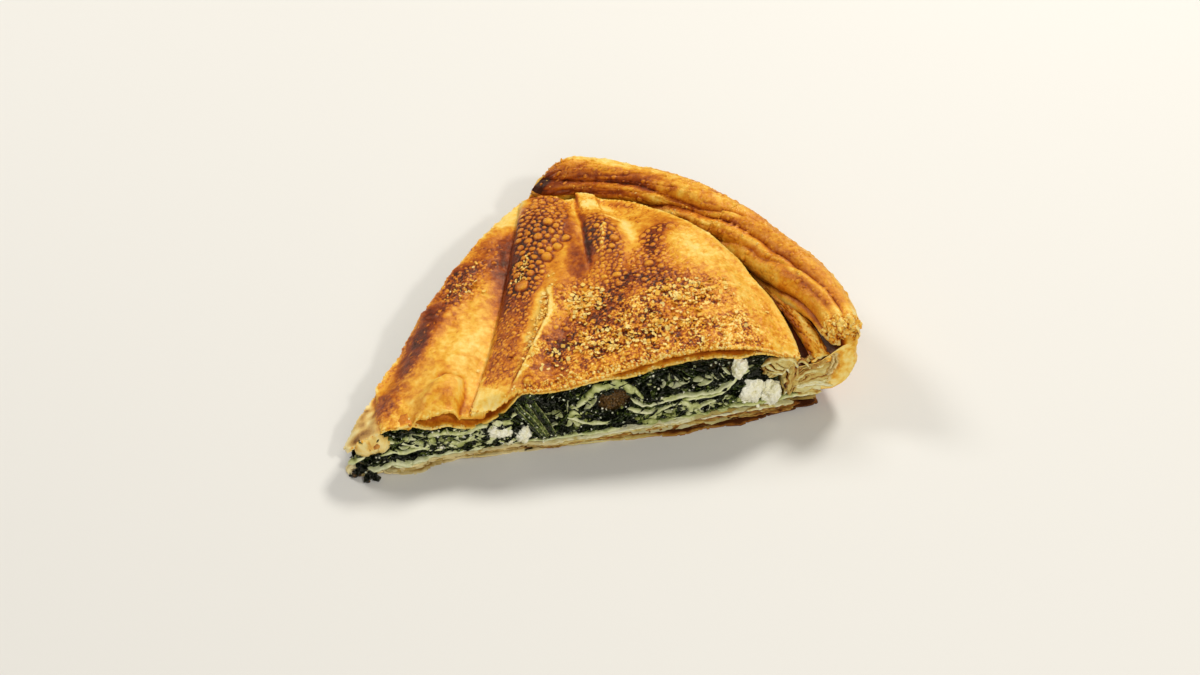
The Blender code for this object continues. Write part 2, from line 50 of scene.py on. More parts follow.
view_way = Vector((
    math.sin(VIEW_TURN) * math.cos(VIEW_DROP),
    math.cos(VIEW_TURN) * math.cos(VIEW_DROP),
    -math.sin(VIEW_DROP),
))
lens = bpy.data.cameras.new("photo_camera")
lens.lens = 70
lens.sensor_width = 36
camera = bpy.data.objects.new("photo_camera", lens)
camera.location = (Vector(VIEW_CENTRE) - view_way * VIEW_DISTANCE) * MM
camera.rotation_euler = view_way.to_track_quat("-Z", "Y").to_euler()
bpy.context.scene.collection.objects.link(camera)
bpy.context.scene.camera = camera
bpy.context.scene.view_settings.view_transform = "Standard"

# Floor: a plain pale tabletop of matt board, with no edge in view.
# It is a wide flat sheet under the slice.
bpy.ops.object.select_all(action="DESELECT")
bpy.ops.mesh.primitive_plane_add(size=6)
floor = bpy.context.object
floor.name = "floor"
board = bpy.data.materials.new("pale_board")
board.use_nodes = True
board_shader = board.node_tree.nodes["Principled BSDF"]
board_shader.inputs["Roughness"].default_value = 0.75
board_grain = board.node_tree.nodes.new("ShaderNodeTexNoise")
board_grain.inputs["Scale"].default_value = 3.0
board_colour = board.node_tree.nodes.new("ShaderNodeValToRGB")
board_colour.color_ramp.elements[0].color = (0.73, 0.715, 0.68, 1)
board_colour.color_ramp.elements[1].color = (0.77, 0.755, 0.725, 1)
board.node_tree.links.new(board_grain.outputs["Fac"], board_colour.inputs["Fac"])
board.node_tree.links.new(board_colour.outputs["Color"], board_shader.inputs["Base Color"])
floor.data.materials.append(board)

# Light: two large soft windows behind the slice, the right one stronger, a weak broad fill in front and a
# small lamp that puts the wet glints on the cut. An even pale sky lifts the shadows.
def soft_window(name, place, width, watts, colour=(1, 1, 1)):
    lamp = bpy.data.lights.new(name, "AREA")
    lamp.shape = "DISK"
    lamp.size = width
    lamp.energy = watts
    lamp.color = colour
    holder = bpy.data.objects.new(name, lamp)
    holder.location = place
    holder.rotation_euler = (-Vector(place)).to_track_quat("-Z", "Y").to_euler()
    bpy.context.scene.collection.objects.link(holder)


soft_window("window_right", (0.50, 0.46, 0.74), 0.24, 6.5, (1.0, 0.97, 0.90))
soft_window("window_left", (-0.52, 0.50, 0.66), 0.30, 3.7, (1.0, 0.98, 0.94))
soft_window("front_fill", (-0.10, -1.0, 0.62), 0.7, 3.6, (1.0, 0.98, 0.92))
soft_window("front_glint", (0.28, -0.78, 0.80), 0.09, 3.6, (1.0, 0.98, 0.93))
sky = bpy.data.worlds.new("pale_sky")
sky.use_nodes = True
sky.node_tree.nodes["Background"].inputs["Color"].default_value = (1.0, 0.96, 0.90, 1)
sky.node_tree.nodes["Background"].inputs["Strength"].default_value = 0.16
bpy.context.scene.world = sky

# Base sheets: three thin sheets of filo under the filling, pale and soaked towards the tip and baked crisp
# and brown towards the rim. They are cut with the slice, so their edges show as thin wavy lines.
PAN_CENTRE = (-19.1, -46.4)
TIP = (-80.5, -53.2)
BACK_CUT_TURN = math.radians(52.0)
BACK_CUT = (math.cos(BACK_CUT_TURN), math.sin(BACK_CUT_TURN))
BACK_OUT = (-BACK_CUT[1], BACK_CUT[0])
BASE_REACH = ((-8, 82.5), (90, 82.5))
BASE_FRONT = (
    (-80, -1.4), (-71, -0.6), (-66, 0.9), (-58, 1.0), (-54, -0.9), (-45, -1.2), (-28, -1.3), (-16, -0.5),
    (0, 0.6), (13, 1.6), (38, 1.3), (50, -0.2), (64, -2.4),
)
BASE_THICKNESS = ((-80, 1.5), (-45, 1.6), (-20, 2.1), (5, 3.0), (48, 4.3), (64, 3.4))


def clamp(value):
    return np.clip(value, 0.0, 1.0)


def smooth(share):
    share = clamp(share)
    return share * share * (3 - 2 * share)


def hump(distance, width):
    return np.exp(-((distance / width) ** 2))


def through(knots, x):
    """A line through a few (x, value) knots."""
    at, values = zip(*knots)
    return np.interp(x, at, values)


def noise3(points, pitch, seed=0):
    """Smooth repeatable noise from about -1 to 1 at points in millimetres."""
    place = np.asarray(points, float) / pitch + 7.31 * seed
    cell = np.floor(place).astype(np.int64)
    part = place - cell
    fade = part**3 * (part * (part * 6 - 15) + 10)
    total = np.zeros(len(place))
    for corner in itertools.product((0, 1), repeat=3):
        key = cell + corner
        mixed = (key[:, 0] * 73856093) ^ (key[:, 1] * 19349663) ^ (key[:, 2] * 83492791)
        mixed = (mixed ^ (mixed >> 13)) * 1274126177
        mixed ^= mixed >> 16
        push = np.stack([mixed & 1023, (mixed >> 10) & 1023, (mixed >> 20) & 1023], 1) / 511.5 - 1
        weight = np.prod(np.where(corner, fade, 1 - fade), axis=1)
        total += weight * ((part - corner) * push).sum(1)
    return total * 1.5


def ruffle(points, pitch, octaves, seed=0):
    """Noise at several pitches, each half as wide and half as strong as the one before."""
    return sum(noise3(points, pitch / 2**i, seed + i) / 2**i for i in range(octaves))


def shaken(points, pitch, seed):
    """Noise of its own in each of the three directions."""
    return np.stack([noise3(points, pitch, seed + i) for i in range(3)], 1)


def plane_points(x, y, level=0.0):
    x = np.asarray(x, float)
    return np.stack([x, np.asarray(y, float) + 0 * x, level + 0 * x], 1)


def at_place(surface, x, y):
    """Height of a surface at one place."""
    return float(surface(np.array([x]), np.array([y]))[0])


def inside_front(y):
    return y - TIP[1]


def inside_back(x, y):
    return -((x - TIP[0]) * BACK_OUT[0] + (y - TIP[1]) * BACK_OUT[1])


def pan_reach(x, y):
    return np.hypot(x - PAN_CENTRE[0], y - PAN_CENTRE[1])


def pan_angle(x, y):
    return np.degrees(np.arctan2(y - PAN_CENTRE[1], x - PAN_CENTRE[0]))


def front_edge(x, y, push):
    return inside_front(y) + push, 0.0 * x, -1.0 + 0.0 * x


def back_edge(x, y, push):
    return inside_back(x, y) + push, BACK_OUT[0] + 0.0 * x, BACK_OUT[1] + 0.0 * x


def rim_edge(x, y, reach, push):
    away = pan_reach(x, y)
    turn = np.radians(pan_angle(x, y))
    return through(reach, np.degrees(turn)) + push - away, np.cos(turn), np.sin(turn)


def tip_edge(x, y, push):
    """The torn point of the slice, across its middle line."""
    half_turn = BACK_CUT_TURN / 2
    way = (math.cos(half_turn), math.sin(half_turn))
    return (x - TIP[0]) * way[0] + (y - TIP[1]) * way[1] - push, -way[0] + 0.0 * x, -way[1] + 0.0 * x


def nearest_edge(edges):
    """How far in from the nearest edge each point is, and the way out to that edge."""
    distance = np.stack([edge[0] for edge in edges])
    pick = distance.argmin(0)
    at = np.arange(distance.shape[1])
    return (
        distance[pick, at],
        np.stack([edge[1] for edge in edges])[pick, at],
        np.stack([edge[2] for edge in edges])[pick, at],
    )


def get_points(piece):
    flat = np.empty(len(piece.data.vertices) * 3)
    piece.data.vertices.foreach_get("co", flat)
    return flat.reshape(-1, 3)


def set_points(piece, points):
    piece.data.vertices.foreach_set("co", np.ascontiguousarray(points, float).ravel())
    piece.data.update()


def select_points(piece, chosen):
    """Selects these vertices alone, and leaves the piece in edit mode."""
    bpy.context.view_layer.objects.active = piece
    bpy.ops.object.mode_set(mode="EDIT")
    bpy.ops.mesh.select_mode(type="VERT")
    bpy.ops.mesh.select_all(action="DESELECT")
    bpy.ops.object.mode_set(mode="OBJECT")
    piece.data.vertices.foreach_set("select", np.ascontiguousarray(chosen, bool))
    bpy.ops.object.mode_set(mode="EDIT")


def selected_points(piece):
    chosen = np.zeros(len(piece.data.vertices), bool)
    piece.data.vertices.foreach_get("select", chosen)
    return chosen


def open_piece(piece):
    """Selects this piece alone and opens it in edit mode with all its points selected."""
    bpy.ops.object.select_all(action="DESELECT")
    piece.select_set(True)
    bpy.context.view_layer.objects.active = piece
    bpy.ops.object.mode_set(mode="EDIT")
    bpy.ops.mesh.select_all(action="SELECT")


def new_grid(name, columns, rows):
    """A flat grid whose x and y run from 0 to 1."""
    bpy.ops.object.select_all(action="DESELECT")
    bpy.ops.mesh.primitive_grid_add(x_subdivisions=columns, y_subdivisions=rows, size=1)
    piece = bpy.context.object
    piece.name = name
    piece.data.name = name
    points = get_points(piece)
    points[:, :2] += 0.5
    set_points(piece, points)
    return piece


def add_second_face(piece):
    """Extrudes a flat piece to give it a second face. Gives its points and which are on that face."""
    select_points(piece, np.ones(len(piece.data.vertices), bool))
    bpy.ops.mesh.extrude_region_move()
    bpy.ops.object.mode_set(mode="OBJECT")
    return get_points(piece), selected_points(piece)


def cut_sheet(name, cell, low, high, edges):
    """A sheet cut to its outline from a fine flat grid, with a second face above the first.

    Gives the piece, its points, which of them are on the upper face and how far in from the edge they are."""
    columns = int((high[0] - low[0]) / cell)
    rows = int((high[1] - low[1]) / cell)
    piece = new_grid(name, columns, rows)
    points = get_points(piece)
    points[:, 0] = low[0] + points[:, 0] * (high[0] - low[0])
    points[:, 1] = low[1] + points[:, 1] * (high[1] - low[1])
    set_points(piece, points)
    inside = nearest_edge(edges(points[:, 0], points[:, 1]))[0]
    select_points(piece, inside < -0.5 * cell)
    bpy.ops.mesh.delete(type="VERT")
    bpy.ops.mesh.select_all(action="SELECT")
    bpy.ops.mesh.delete_loose(use_verts=True, use_edges=True, use_faces=False)
    bpy.ops.object.mode_set(mode="OBJECT")
    points = get_points(piece)
    inside, out_x, out_y = nearest_edge(edges(points[:, 0], points[:, 1]))
    near = inside < 0.5 * cell
    points[near, 0] += out_x[near] * inside[near]
    points[near, 1] += out_y[near] * inside[near]
    set_points(piece, points)
    points, upper = add_second_face(piece)
    inside = nearest_edge(edges(points[:, 0], points[:, 1]))[0]
    return piece, points, upper, np.maximum(inside, 0.0)


def paint(piece, name, values):
    """Keeps one number per vertex, such as how brown the crust is there, for the material to read."""
    layer = piece.data.attributes.new(name, "FLOAT", "POINT")
    layer.data.foreach_set("value", np.ascontiguousarray(values, np.float32))


def settle(piece, finish, nodes, smooth_angle=50):
    """Turns a drawn piece into metres in the part's frame, and hands it over to the frame."""
    open_piece(piece)
    bpy.ops.mesh.normals_make_consistent(inside=False)
    bpy.ops.object.mode_set(mode="OBJECT")
    move = Matrix.Translation((DRAWING_MOVE[0] * MM, DRAWING_MOVE[1] * MM, 0))
    piece.data.transform(move @ Matrix.Scale(MM, 4))
    bpy.ops.object.shade_smooth_by_angle(angle=math.radians(smooth_angle))
    piece.data.materials.clear()
    piece.data.materials.append(finish)
    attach(piece, "root")
    if nodes:
        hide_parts(*nodes)


def new_finish(name):
    """A fresh material: itself, its nodes, its shader and the place on the piece that its patterns follow."""
    made = bpy.data.materials.new(name)
    made.use_nodes = True
    tree = made.node_tree
    return made, tree, tree.nodes["Principled BSDF"], tree.nodes.new("ShaderNodeTexCoord").outputs["Object"]


def painted(tree, name):
    """The numbers that paint keeps on the mesh under this name."""
    kept = tree.nodes.new("ShaderNodeAttribute")
    kept.attribute_name = name
    return kept.outputs["Fac"]


def link_math(kind, first, second):
    """A sum on two patterns, or on a pattern and a number."""
    tree = first.id_data
    step = tree.nodes.new("ShaderNodeMath")
    step.operation = kind
    for socket, value in zip(step.inputs, (first, second)):
        if isinstance(value, (int, float)):
            socket.default_value = value
        else:
            tree.links.new(value, socket)
    return step.outputs["Value"]


def plus(first, second):
    return link_math("ADD", first, second)


def times(first, second):
    return link_math("MULTIPLY", first, second)


def swing(pattern, strength, middle=0.5):
    """A pattern's swing to either side of its middle."""
    return times(link_math("SUBTRACT", pattern, middle), strength)


def noise_node(place, scale, detail, stretch=None):
    tree = place.id_data
    if stretch:
        turned = tree.nodes.new("ShaderNodeMapping")
        turned.inputs["Scale"].default_value = stretch
        tree.links.new(place, turned.inputs["Vector"])
        place = turned.outputs["Vector"]
    made = tree.nodes.new("ShaderNodeTexNoise")
    made.inputs["Scale"].default_value = scale
    made.inputs["Detail"].default_value = detail
    made.inputs["Roughness"].default_value = 0.62
    tree.links.new(place, made.inputs["Vector"])
    return made.outputs["Fac"]


def ramp_node(factor, stops):
    tree = factor.id_data
    made = tree.nodes.new("ShaderNodeValToRGB")
    ramp = made.color_ramp
    while len(ramp.elements) < len(stops):
        ramp.elements.new(0.5)
    for element, (place, colour) in zip(ramp.elements, stops):
        element.position = place
        element.color = (*colour, 1)
    tree.links.new(factor, made.inputs["Fac"])
    return made.outputs["Color"]


def grain_node(place, scale):
    """Small rounded grains: how far each point is from its grain's middle, and one shade for each grain."""
    tree = place.id_data
    made = tree.nodes.new("ShaderNodeTexVoronoi")
    made.inputs["Scale"].default_value = scale
    tree.links.new(place, made.inputs["Vector"])
    return made.outputs["Distance"], made.outputs["Color"]


def mix_node(share, first, second):
    tree = share.id_data
    made = tree.nodes.new("ShaderNodeMix")
    made.data_type = "RGBA"
    tree.links.new(share, made.inputs["Factor"])
    tree.links.new(first, made.inputs["A"])
    tree.links.new(second, made.inputs["B"])
    return made.outputs["Result"]


def bump_node(height, distance, strength):
    tree = height.id_data
    made = tree.nodes.new("ShaderNodeBump")
    made.inputs["Distance"].default_value = distance
    made.inputs["Strength"].default_value = strength
    tree.links.new(height, made.inputs["Height"])
    return made.outputs["Normal"]


BAKED = (
    (0.00, (0.89, 0.70, 0.26)),
    (0.14, (0.87, 0.585, 0.118)),
    (0.28, (0.81, 0.415, 0.036)),
    (0.42, (0.67, 0.24, 0.012)),
    (0.56, (0.45, 0.110, 0.005)),
    (0.70, (0.26, 0.043, 0.004)),
    (0.84, (0.13, 0.016, 0.002)),
    (1.00, (0.04, 0.006, 0.002)),
)
STEWED = (
    (0.00, (0.84, 0.70, 0.36)),
    (0.30, (0.66, 0.49, 0.18)),
    (0.55, (0.42, 0.25, 0.060)),
    (0.78, (0.15, 0.065, 0.014)),
    (1.00, (0.03, 0.012, 0.004)),
)


def baked_filo(name, colours, fleck=0.20, shine=0.42):
    """Baked pastry: its colour runs from pale through golden to brown with the browning kept on the mesh."""
    made, tree, shader, place = new_finish(name)
    crumbs = painted(tree, "crumbs")
    fine = noise_node(place, 1500, 5)
    blotch = noise_node(place, 260, 3)
    speckle = noise_node(place, 620, 4)
    away, shade = grain_node(place, 1350)
    grain = link_math("SUBTRACT", shade, away)
    flecks = plus(swing(fine, fleck), swing(speckle, 0.22))
    level = plus(painted(tree, "browning"), plus(flecks, swing(blotch, 0.22)))
    level = plus(level, times(swing(grain, -0.70, 0.05), crumbs))
    crust, steamed = ramp_node(level, colours), ramp_node(level, STEWED)
    tree.links.new(mix_node(painted(tree, "soaked"), crust, steamed), shader.inputs["Base Color"])
    tree.links.new(plus(times(blotch, 0.3), shine - 0.10), shader.inputs["Roughness"])
    shader.inputs["Specular IOR Level"].default_value = 0.30
    shader.inputs["Specular Tint"].default_value = (1.0, 0.86, 0.62, 1)
    relief = plus(plus(fine, times(blotch, 0.6)), times(grain, crumbs))
    tree.links.new(bump_node(relief, 0.00045, 0.5), shader.inputs["Normal"])
    return made


SOAKED = (
    (0.00, (0.80, 0.76, 0.50)),
    (0.22, (0.70, 0.62, 0.27)),
    (0.45, (0.58, 0.42, 0.11)),
    (0.65, (0.42, 0.20, 0.034)),
    (0.82, (0.28, 0.095, 0.014)),
    (1.00, (0.08, 0.020, 0.005)),
)
base_finish = baked_filo("soaked_filo", SOAKED, 0.24, 0.36)


def base_top(x, y):
    return through(BASE_THICKNESS, x) + 0.0 * y


def soaked_share(x):
    """How far the filling has soaked the base: most at the tip, and not at all past the middle."""
    return 0.85 * smooth((-6 - x) / 22)


def undercut(x, z):
    """How far the lower part of the front cut stands back between the tip and the stalks."""
    return 1.9 * smooth((x + 61) / 6) * smooth((-18 - x) / 10) * smooth((6.8 - z) / 6)


# Each sheet: name, underside and top as shares of the base's height, how far its edge stands back, and seed.
BASE_SHEETS = (
    ("base_sheet_low", 0.0, 0.22, 1.9, 1),
    ("base_sheet_middle", 0.42, 0.58, 1.1, 2),
    ("base_sheet_top", 0.80, 1.0, 0.0, 3),
)
for name, low_share, high_share, stand_out, seed in BASE_SHEETS:
    def base_outline(x, y, seed=seed, stand_out=stand_out):
        along = plane_points(x, 0 * x, seed * 9.0)
        ragged = (
            0.9 * noise3(along, 9, seed) + 0.35 * noise3(along, 2.2, seed) + 0.16 * noise3(along, 0.8, seed)
        )
        along = plane_points(x + y, 0 * x, seed * 5.0)
        torn = 0.8 * noise3(along, 10, seed + 4) + 0.35 * noise3(along, 2.4, seed + 4)
        return (
            front_edge(x, y, through(BASE_FRONT, x) + 0.8 * stand_out + ragged),
            back_edge(x, y, stand_out * 0.6 + torn),
            rim_edge(x, y, BASE_REACH, 0.8 * torn - 0.5),
            tip_edge(x, y, 1.4 + torn),
        )

    sheet, points, upper, inside = cut_sheet(name, 0.85, (-82, -57.5), (64, 40), base_outline)
    x, y = points[:, 0], points[:, 1]
    wave = noise3(plane_points(x, y, seed * 3.0), 8, seed) * hump(inside, 5) * 0.8
    wave += noise3(plane_points(x, y, seed * 3.0), 2.6, seed + 2) * hump(inside, 2.5) * 0.55
    share = np.where(upper, high_share - 0.10, low_share + 0.04)
    points[:, 2] = share * base_top(x, y) + wave * (0.4 + share) + 0.25 * ruffle(points, 3, 2, seed) * upper
    lift = np.maximum(0, noise3(plane_points(x + y, 0 * x, 4), 12, 5)) * hump(inside, 3.0)
    points[:, 2] += lift * 1.0
    if name == "base_sheet_low":
        points[~upper, 2] = (0.02 + 0.8 * lift)[~upper]
    points[:, 2] = np.maximum(points[:, 2], 0.02)
    set_points(sheet, points)
    brown = 0.12 + 0.42 * smooth((x - 5) / 50) + 0.22 * ruffle(plane_points(x, y, seed), 12, 3, seed)
    # Edges browner towards the rim. Undersides are darker: browned on the pan under the lowest sheet, painted
    # shade in the gaps under the others.
    brown += 0.18 * hump(inside, 1.2) * smooth((x + 20) / 40) + np.where(upper, 0.0, 0.30)
    brown -= 0.16 * smooth((-10 - x) / 30)
    # The lowest sheet's top is painted darker deeper in from its edge, and the other sheets' undersides
    # darker near their edges: painted shade in the gaps between the sheets.
    if name == "base_sheet_low":
        brown += 0.20 * smooth(x / 20) + np.where(upper, 0.6 * smooth((inside - 0.5) / 0.8), 0.0)
    else:
        brown += np.where(upper, -0.22, 0.34 * smooth((x + 30) / 30)) * hump(inside, 1.5)
    paint(sheet, "browning", brown)
    soaked = soaked_share(x)
    if name == "base_sheet_low":
        soaked *= 1 - np.where(upper, 0.0, 0.75 * smooth((inside - 1.5) / 2))
    paint(sheet, "soaked", soaked)
    settle(sheet, base_finish, ["base_filo"])

# Spinach filling: wilted leaves chopped and packed together with herbs and crumbled cheese, dark and wet.
# It is one packed mass between the base and the top sheets, and both cuts go straight through it.
FILLING_REACH = 69.2
CREST = (
    (-80, 10), (-74, 14.5), (-68, 17.8), (-60, 18.4), (-50, 20.8), (-36, 21), (-28, 22.6),
    (-12, 25), (12, 28.6), (30, 30), (42, 28.6), (50, 25.6), (58, 21.4),
)
TOP_THICKNESS = 2.1
OPENING_HEIGHT = 2.6
PLEAT_LEFT = ((-52.7, -42.6), (-30, -32.3), (-8, -24.2), (15, -16.2), (37, -10))
PLEAT_RIGHT = ((-52.7, -32.2), (-29, -20), (-5, -9), (14, 2.5), (34, 6))


def pleat_left(y):
    return through(PLEAT_LEFT, y)


def pleat_right(y):
    return through(PLEAT_RIGHT, y)


def top_height(x, y):
    """Height of the crumpled top, without the pleat that lies on it and without its blisters."""
    height = through(CREST, x)
    front = inside_front(y)
    height = height + 1.5 * smooth(front / 26) - 0.6 * hump(front, 2.5)
    offset = x - pleat_left(y)
    deep = 0.3 + 0.7 * smooth((30 - y) / 60)
    height -= 3.8 * deep * hump(offset - 1, 6.5)
    height += 1.4 * deep * hump(offset - 16, 5)
    height += 1.5 * hump(x + 50, 6) * hump(y + 47.2, 5) - 1.4 * hump(x - 4.2, 1.8) * hump(y - 16, 14)
    height += 1.2 * hump(x - 10.5, 4) * hump(y - 8, 15) + 0.9 * hump(x - 12, 16) * hump(y + 30, 12)
    height -= 1.7 * hump(x - 20 + 0.12 * y, 5) * smooth((y + 14) / 18)
    drop = 3.4 * smooth((x + 76) / 8) * smooth((-48 - x) / 14)
    height -= drop * hump(inside_back(x, y), 4.5)
    height += 1.3 * hump(x + 38, 9) * hump(inside_back(x, y), 9)
    angle = pan_angle(x, y)
    fall = 3.4 + 1.7 * smooth((angle - 44) / 14) * smooth((88 - angle) / 16)
    return height - fall * smooth((pan_reach(x, y) - 62) / 19)


def opening(x, y):
    """Share of the full opening between the two top sheets."""
    right = smooth((x + 6) / 12) * smooth((46 - x) / 10)
    left = 1.15 * smooth((x + 61) / 7) * smooth((-27 - x) / 6)
    return (right + left) * hump(inside_front(y), 13)


def top_underside(x, y):
    thick = TOP_THICKNESS - 0.8 * smooth((-54 - x) / 8)
    return top_height(x, y) - thick - OPENING_HEIGHT * opening(x, y)


def cut_angles(reach):
    """Angles about the pan at which the front and the back cut pass this far from its middle."""
    to_tip = (TIP[0] - PAN_CENTRE[0], TIP[1] - PAN_CENTRE[1])
    along = to_tip[0] * BACK_CUT[0] + to_tip[1] * BACK_CUT[1]
    length = -along + np.sqrt(along**2 - to_tip[0] ** 2 - to_tip[1] ** 2 + reach**2)
    back = np.arctan2(to_tip[1] + BACK_CUT[1] * length, to_tip[0] + BACK_CUT[0] * length)
    return np.arcsin((TIP[1] - PAN_CENTRE[1]) / reach), back


def wedge_plan(run, across, reach):
    """Plan of the slice: run goes from the tip to the rim, across from the front to the back cut."""
    front, back = cut_angles(reach)
    angle = front + (back - front) * across
    x = TIP[0] + (PAN_CENTRE[0] + np.cos(angle) * reach - TIP[0]) * run
    y = TIP[1] + (PAN_CENTRE[1] + np.sin(angle) * reach - TIP[1]) * run
    return x, y


# The core is a grid wrapped round the front cut, rim and back cut, and closed over its top and underside.
CORE_COLUMNS = 640
CORE_FRONT_SHARE = 0.52
CORE_RIM_SHARE = 0.56
CORE_LEVELS = 52
CORE_CAP_RINGS = 6
CORE_RINGS = CORE_LEVELS + 2 * CORE_CAP_RINGS
FIRST_RUN = 0.045
# Middle x and z of the brown hollow in the front cut.
HOLLOW = (0.0, 13.8)
core = new_grid("spinach_core", CORE_COLUMNS, CORE_RINGS)
points = get_points(core)
around, rise = points[:, 0].copy(), points[:, 1].copy()
ring = rise * CORE_RINGS
level = clamp((ring - CORE_CAP_RINGS) / CORE_LEVELS)
inward = clamp(1 - np.minimum(ring, CORE_RINGS - ring) / CORE_CAP_RINGS)
on_front = around < CORE_FRONT_SHARE
on_back = around > CORE_RIM_SHARE
run = np.where(on_front, FIRST_RUN + (1 - FIRST_RUN) * around / CORE_FRONT_SHARE, 1.0)
run = np.where(on_back, 1 - (1 - FIRST_RUN) * (around - CORE_RIM_SHARE) / (1 - CORE_RIM_SHARE), run)
across = np.where(on_front, 0.0, 1.0)
on_rim = ~on_front & ~on_back
across = np.where(on_rim, (around - CORE_FRONT_SHARE) / (CORE_RIM_SHARE - CORE_FRONT_SHARE), across)
x, y = wedge_plan(run, across, FILLING_REACH)
out_x = np.where(on_back, BACK_OUT[0], 0.0)
out_y = np.where(on_back, BACK_OUT[1], np.where(on_front, -1.0, 0.0))
bottom, ceiling = base_top(x, y) - 0.1, top_underside(x, y) + 0.1
z = bottom + (ceiling - bottom) * level
along = np.where(on_back, x * 0.6 + y * 0.8, x)
face = plane_points(along, np.where(on_back, 50.0, 0.0), z)
stretched = face * (0.45, 1, 1)
lumps = ruffle(stretched, 3.4, 2, 3)
folds = 1 - np.abs(noise3(stretched + 0.6 * ruffle(face, 3, 2, 9)[:, None], 1.9, 11))
fine = 1 - np.abs(noise3(face * (0.7, 1, 1), 0.9, 15))
relief = -0.7 + 1.0 * lumps + 1.2 * (folds - 0.75) + 0.8 * (fine - 0.75) - undercut(along, z) * on_front
relief += 0.9 * smooth((0.35 - level) / 0.35) * on_front * smooth((20 - np.abs(along - 14)) / 40)
hole = smooth((1.15 - np.hypot((along - HOLLOW[0]) / 4.6, (z - HOLLOW[1]) / 3.6)) / 0.3) * on_front
relief -= 1.5 * hole
relief += hole * 0.4 * np.sin((along + 0.55 * z) * 4.4)
relief -= 3.0 * hump(along - 46.0 + 0.55 * (z - 15.5), 1.9) * hump(z - 15.5, 2.4) * on_front
relief -= 1.8 * hump(along + 58.0, 4.5) * hump(z - 5.6, 1.0) * on_front
relief *= (1 - inward) * smooth(run * 9)
x = x + out_x * relief
y = y + out_y * relief
centre_x, centre_y = wedge_plan(np.array([0.62]), np.array([0.5]), FILLING_REACH)
x = x + (centre_x[0] - x) * inward
y = y + (centre_y[0] - y) * inward
capped = inward > 0
z = np.where(capped & (rise < 0.5), base_top(x, y) - 0.1, z)
z = np.where(capped & (rise >= 0.5), top_underside(x, y) + 0.1 - 2.6 * smooth(inward * 3), z)
set_points(core, np.stack([x, y, z], 1))
# The tone rises where the folds stand out of the cut, most on their sharpest crests: painted highlight on the
# folds, partly paler leaf ribs.
tone = 0.22 + 0.28 * lumps + 0.5 * (fine - 0.75) + 0.4 * (folds - 0.75) + 0.22 * noise3(face, 6.0, 17)
tone += 0.5 * smooth((folds - 0.93) / 0.05) * smooth(noise3(face, 4.0, 19) * 3)
tone += 0.34 * hump(along + 46, 11) * on_front * smooth((z - 2) / 2) * smooth((13 - z) / 3)
tone += 0.20 * hump(along - 20, 26) * hump(z - 7, 2.4) * on_front + 0.3 * hump(along - 52.0, 5) * on_front
paint(core, "leaf_tone_and_highlight", tone)
paint(core, "stain", clamp(hole + 0.28 * hump(along - 31, 7) * hump(z - 20, 3.5) * on_front))


def weld(piece):
    """Joins the points that lie on one another, which closes seams and ends."""
    open_piece(piece)
    bpy.ops.mesh.remove_doubles(threshold=0.0005)
    bpy.ops.object.mode_set(mode="OBJECT")


weld(core)


def wet_greens(name, colours):
    """Cooked leaves: nearly black green with lighter ribs, wet, with brown stains and pale specks that are
    partly herbs and partly painted wet glints.
    """
    made, tree, shader, place = new_finish(name)
    stain = painted(tree, "stain")
    fine = noise_node(place, 1300, 5, (0.5, 1, 1))
    blotch = noise_node(place, 420, 4)
    ripple = noise_node(place, 780, 1)
    level = plus(painted(tree, "leaf_tone_and_highlight"), swing(fine, 0.75))
    green = ramp_node(plus(level, swing(blotch, 0.6)), colours)
    sauce = ramp_node(fine, ((0.35, (0.040, 0.018, 0.005)), (0.65, (0.26, 0.13, 0.030))))
    # Pale specks: partly herbs, partly painted wet glints on the leaves.
    away, shade = grain_node(place, 540)
    herb_and_glint_colour = ramp_node(shade, ((0.50, (0.22, 0.27, 0.06)), (0.64, (0.80, 0.82, 0.58))))
    near = link_math("LESS_THAN", plus(away, swing(fine, 0.5)), 0.21)
    speck = times(near, link_math("GREATER_THAN", shade, 0.50))
    speck = times(speck, link_math("LESS_THAN", stain, 0.3))
    stained = mix_node(stain, green, sauce)
    tree.links.new(mix_node(speck, stained, herb_and_glint_colour), shader.inputs["Base Color"])
    tree.links.new(plus(times(blotch, 0.14), 0.06), shader.inputs["Roughness"])
    shader.inputs["Specular IOR Level"].default_value = 0.55
    shader.inputs["Specular Tint"].default_value = (1.0, 0.98, 0.88, 1)
    folded = plus(times(ripple, 1.6), times(fine, 0.12))
    tree.links.new(bump_node(folded, 0.0022, 1.0), shader.inputs["Normal"])
    return made


SPINACH = (
    (0.00, (0.002, 0.003, 0.001)),
    (0.34, (0.006, 0.009, 0.002)),
    (0.55, (0.024, 0.038, 0.007)),
    (0.72, (0.11, 0.155, 0.022)),
    (0.86, (0.34, 0.39, 0.09)),
    (1.00, (0.62, 0.62, 0.26)),
)
spinach_finish = wet_greens("cooked_spinach", SPINACH)
settle(core, spinach_finish, ["spinach_filling"], 80)

# Leaf shreds: torn strips of the same wilted leaves that curl out of both cuts of the filling.
# One strip is modelled, and each copy is bent, rolled and laid along the cut in its own way.
draw = np.random.default_rng(7)
# Each cheese lump in the front cut: node, x, z, half width, half height and seed. No shred lies over one.
FETA_LUMPS = (
    ("feta_upper", 37.5, 19.9, 2.6, 3.7, 3),
    ("feta_right", 41.5, 10.2, 3.5, 4.7, 5),
    ("feta_rim", 47.9, 8.5, 3.0, 4.0, 8),
    ("feta_stalk", -27.6, 6.4, 2.6, 2.6, 13),
    ("feta_middle", -35.0, 9.6, 3.2, 2.6, 17),
)
pattern = new_grid("leaf_shred", 11, 3)
pattern_points, pattern_upper = add_second_face(pattern)


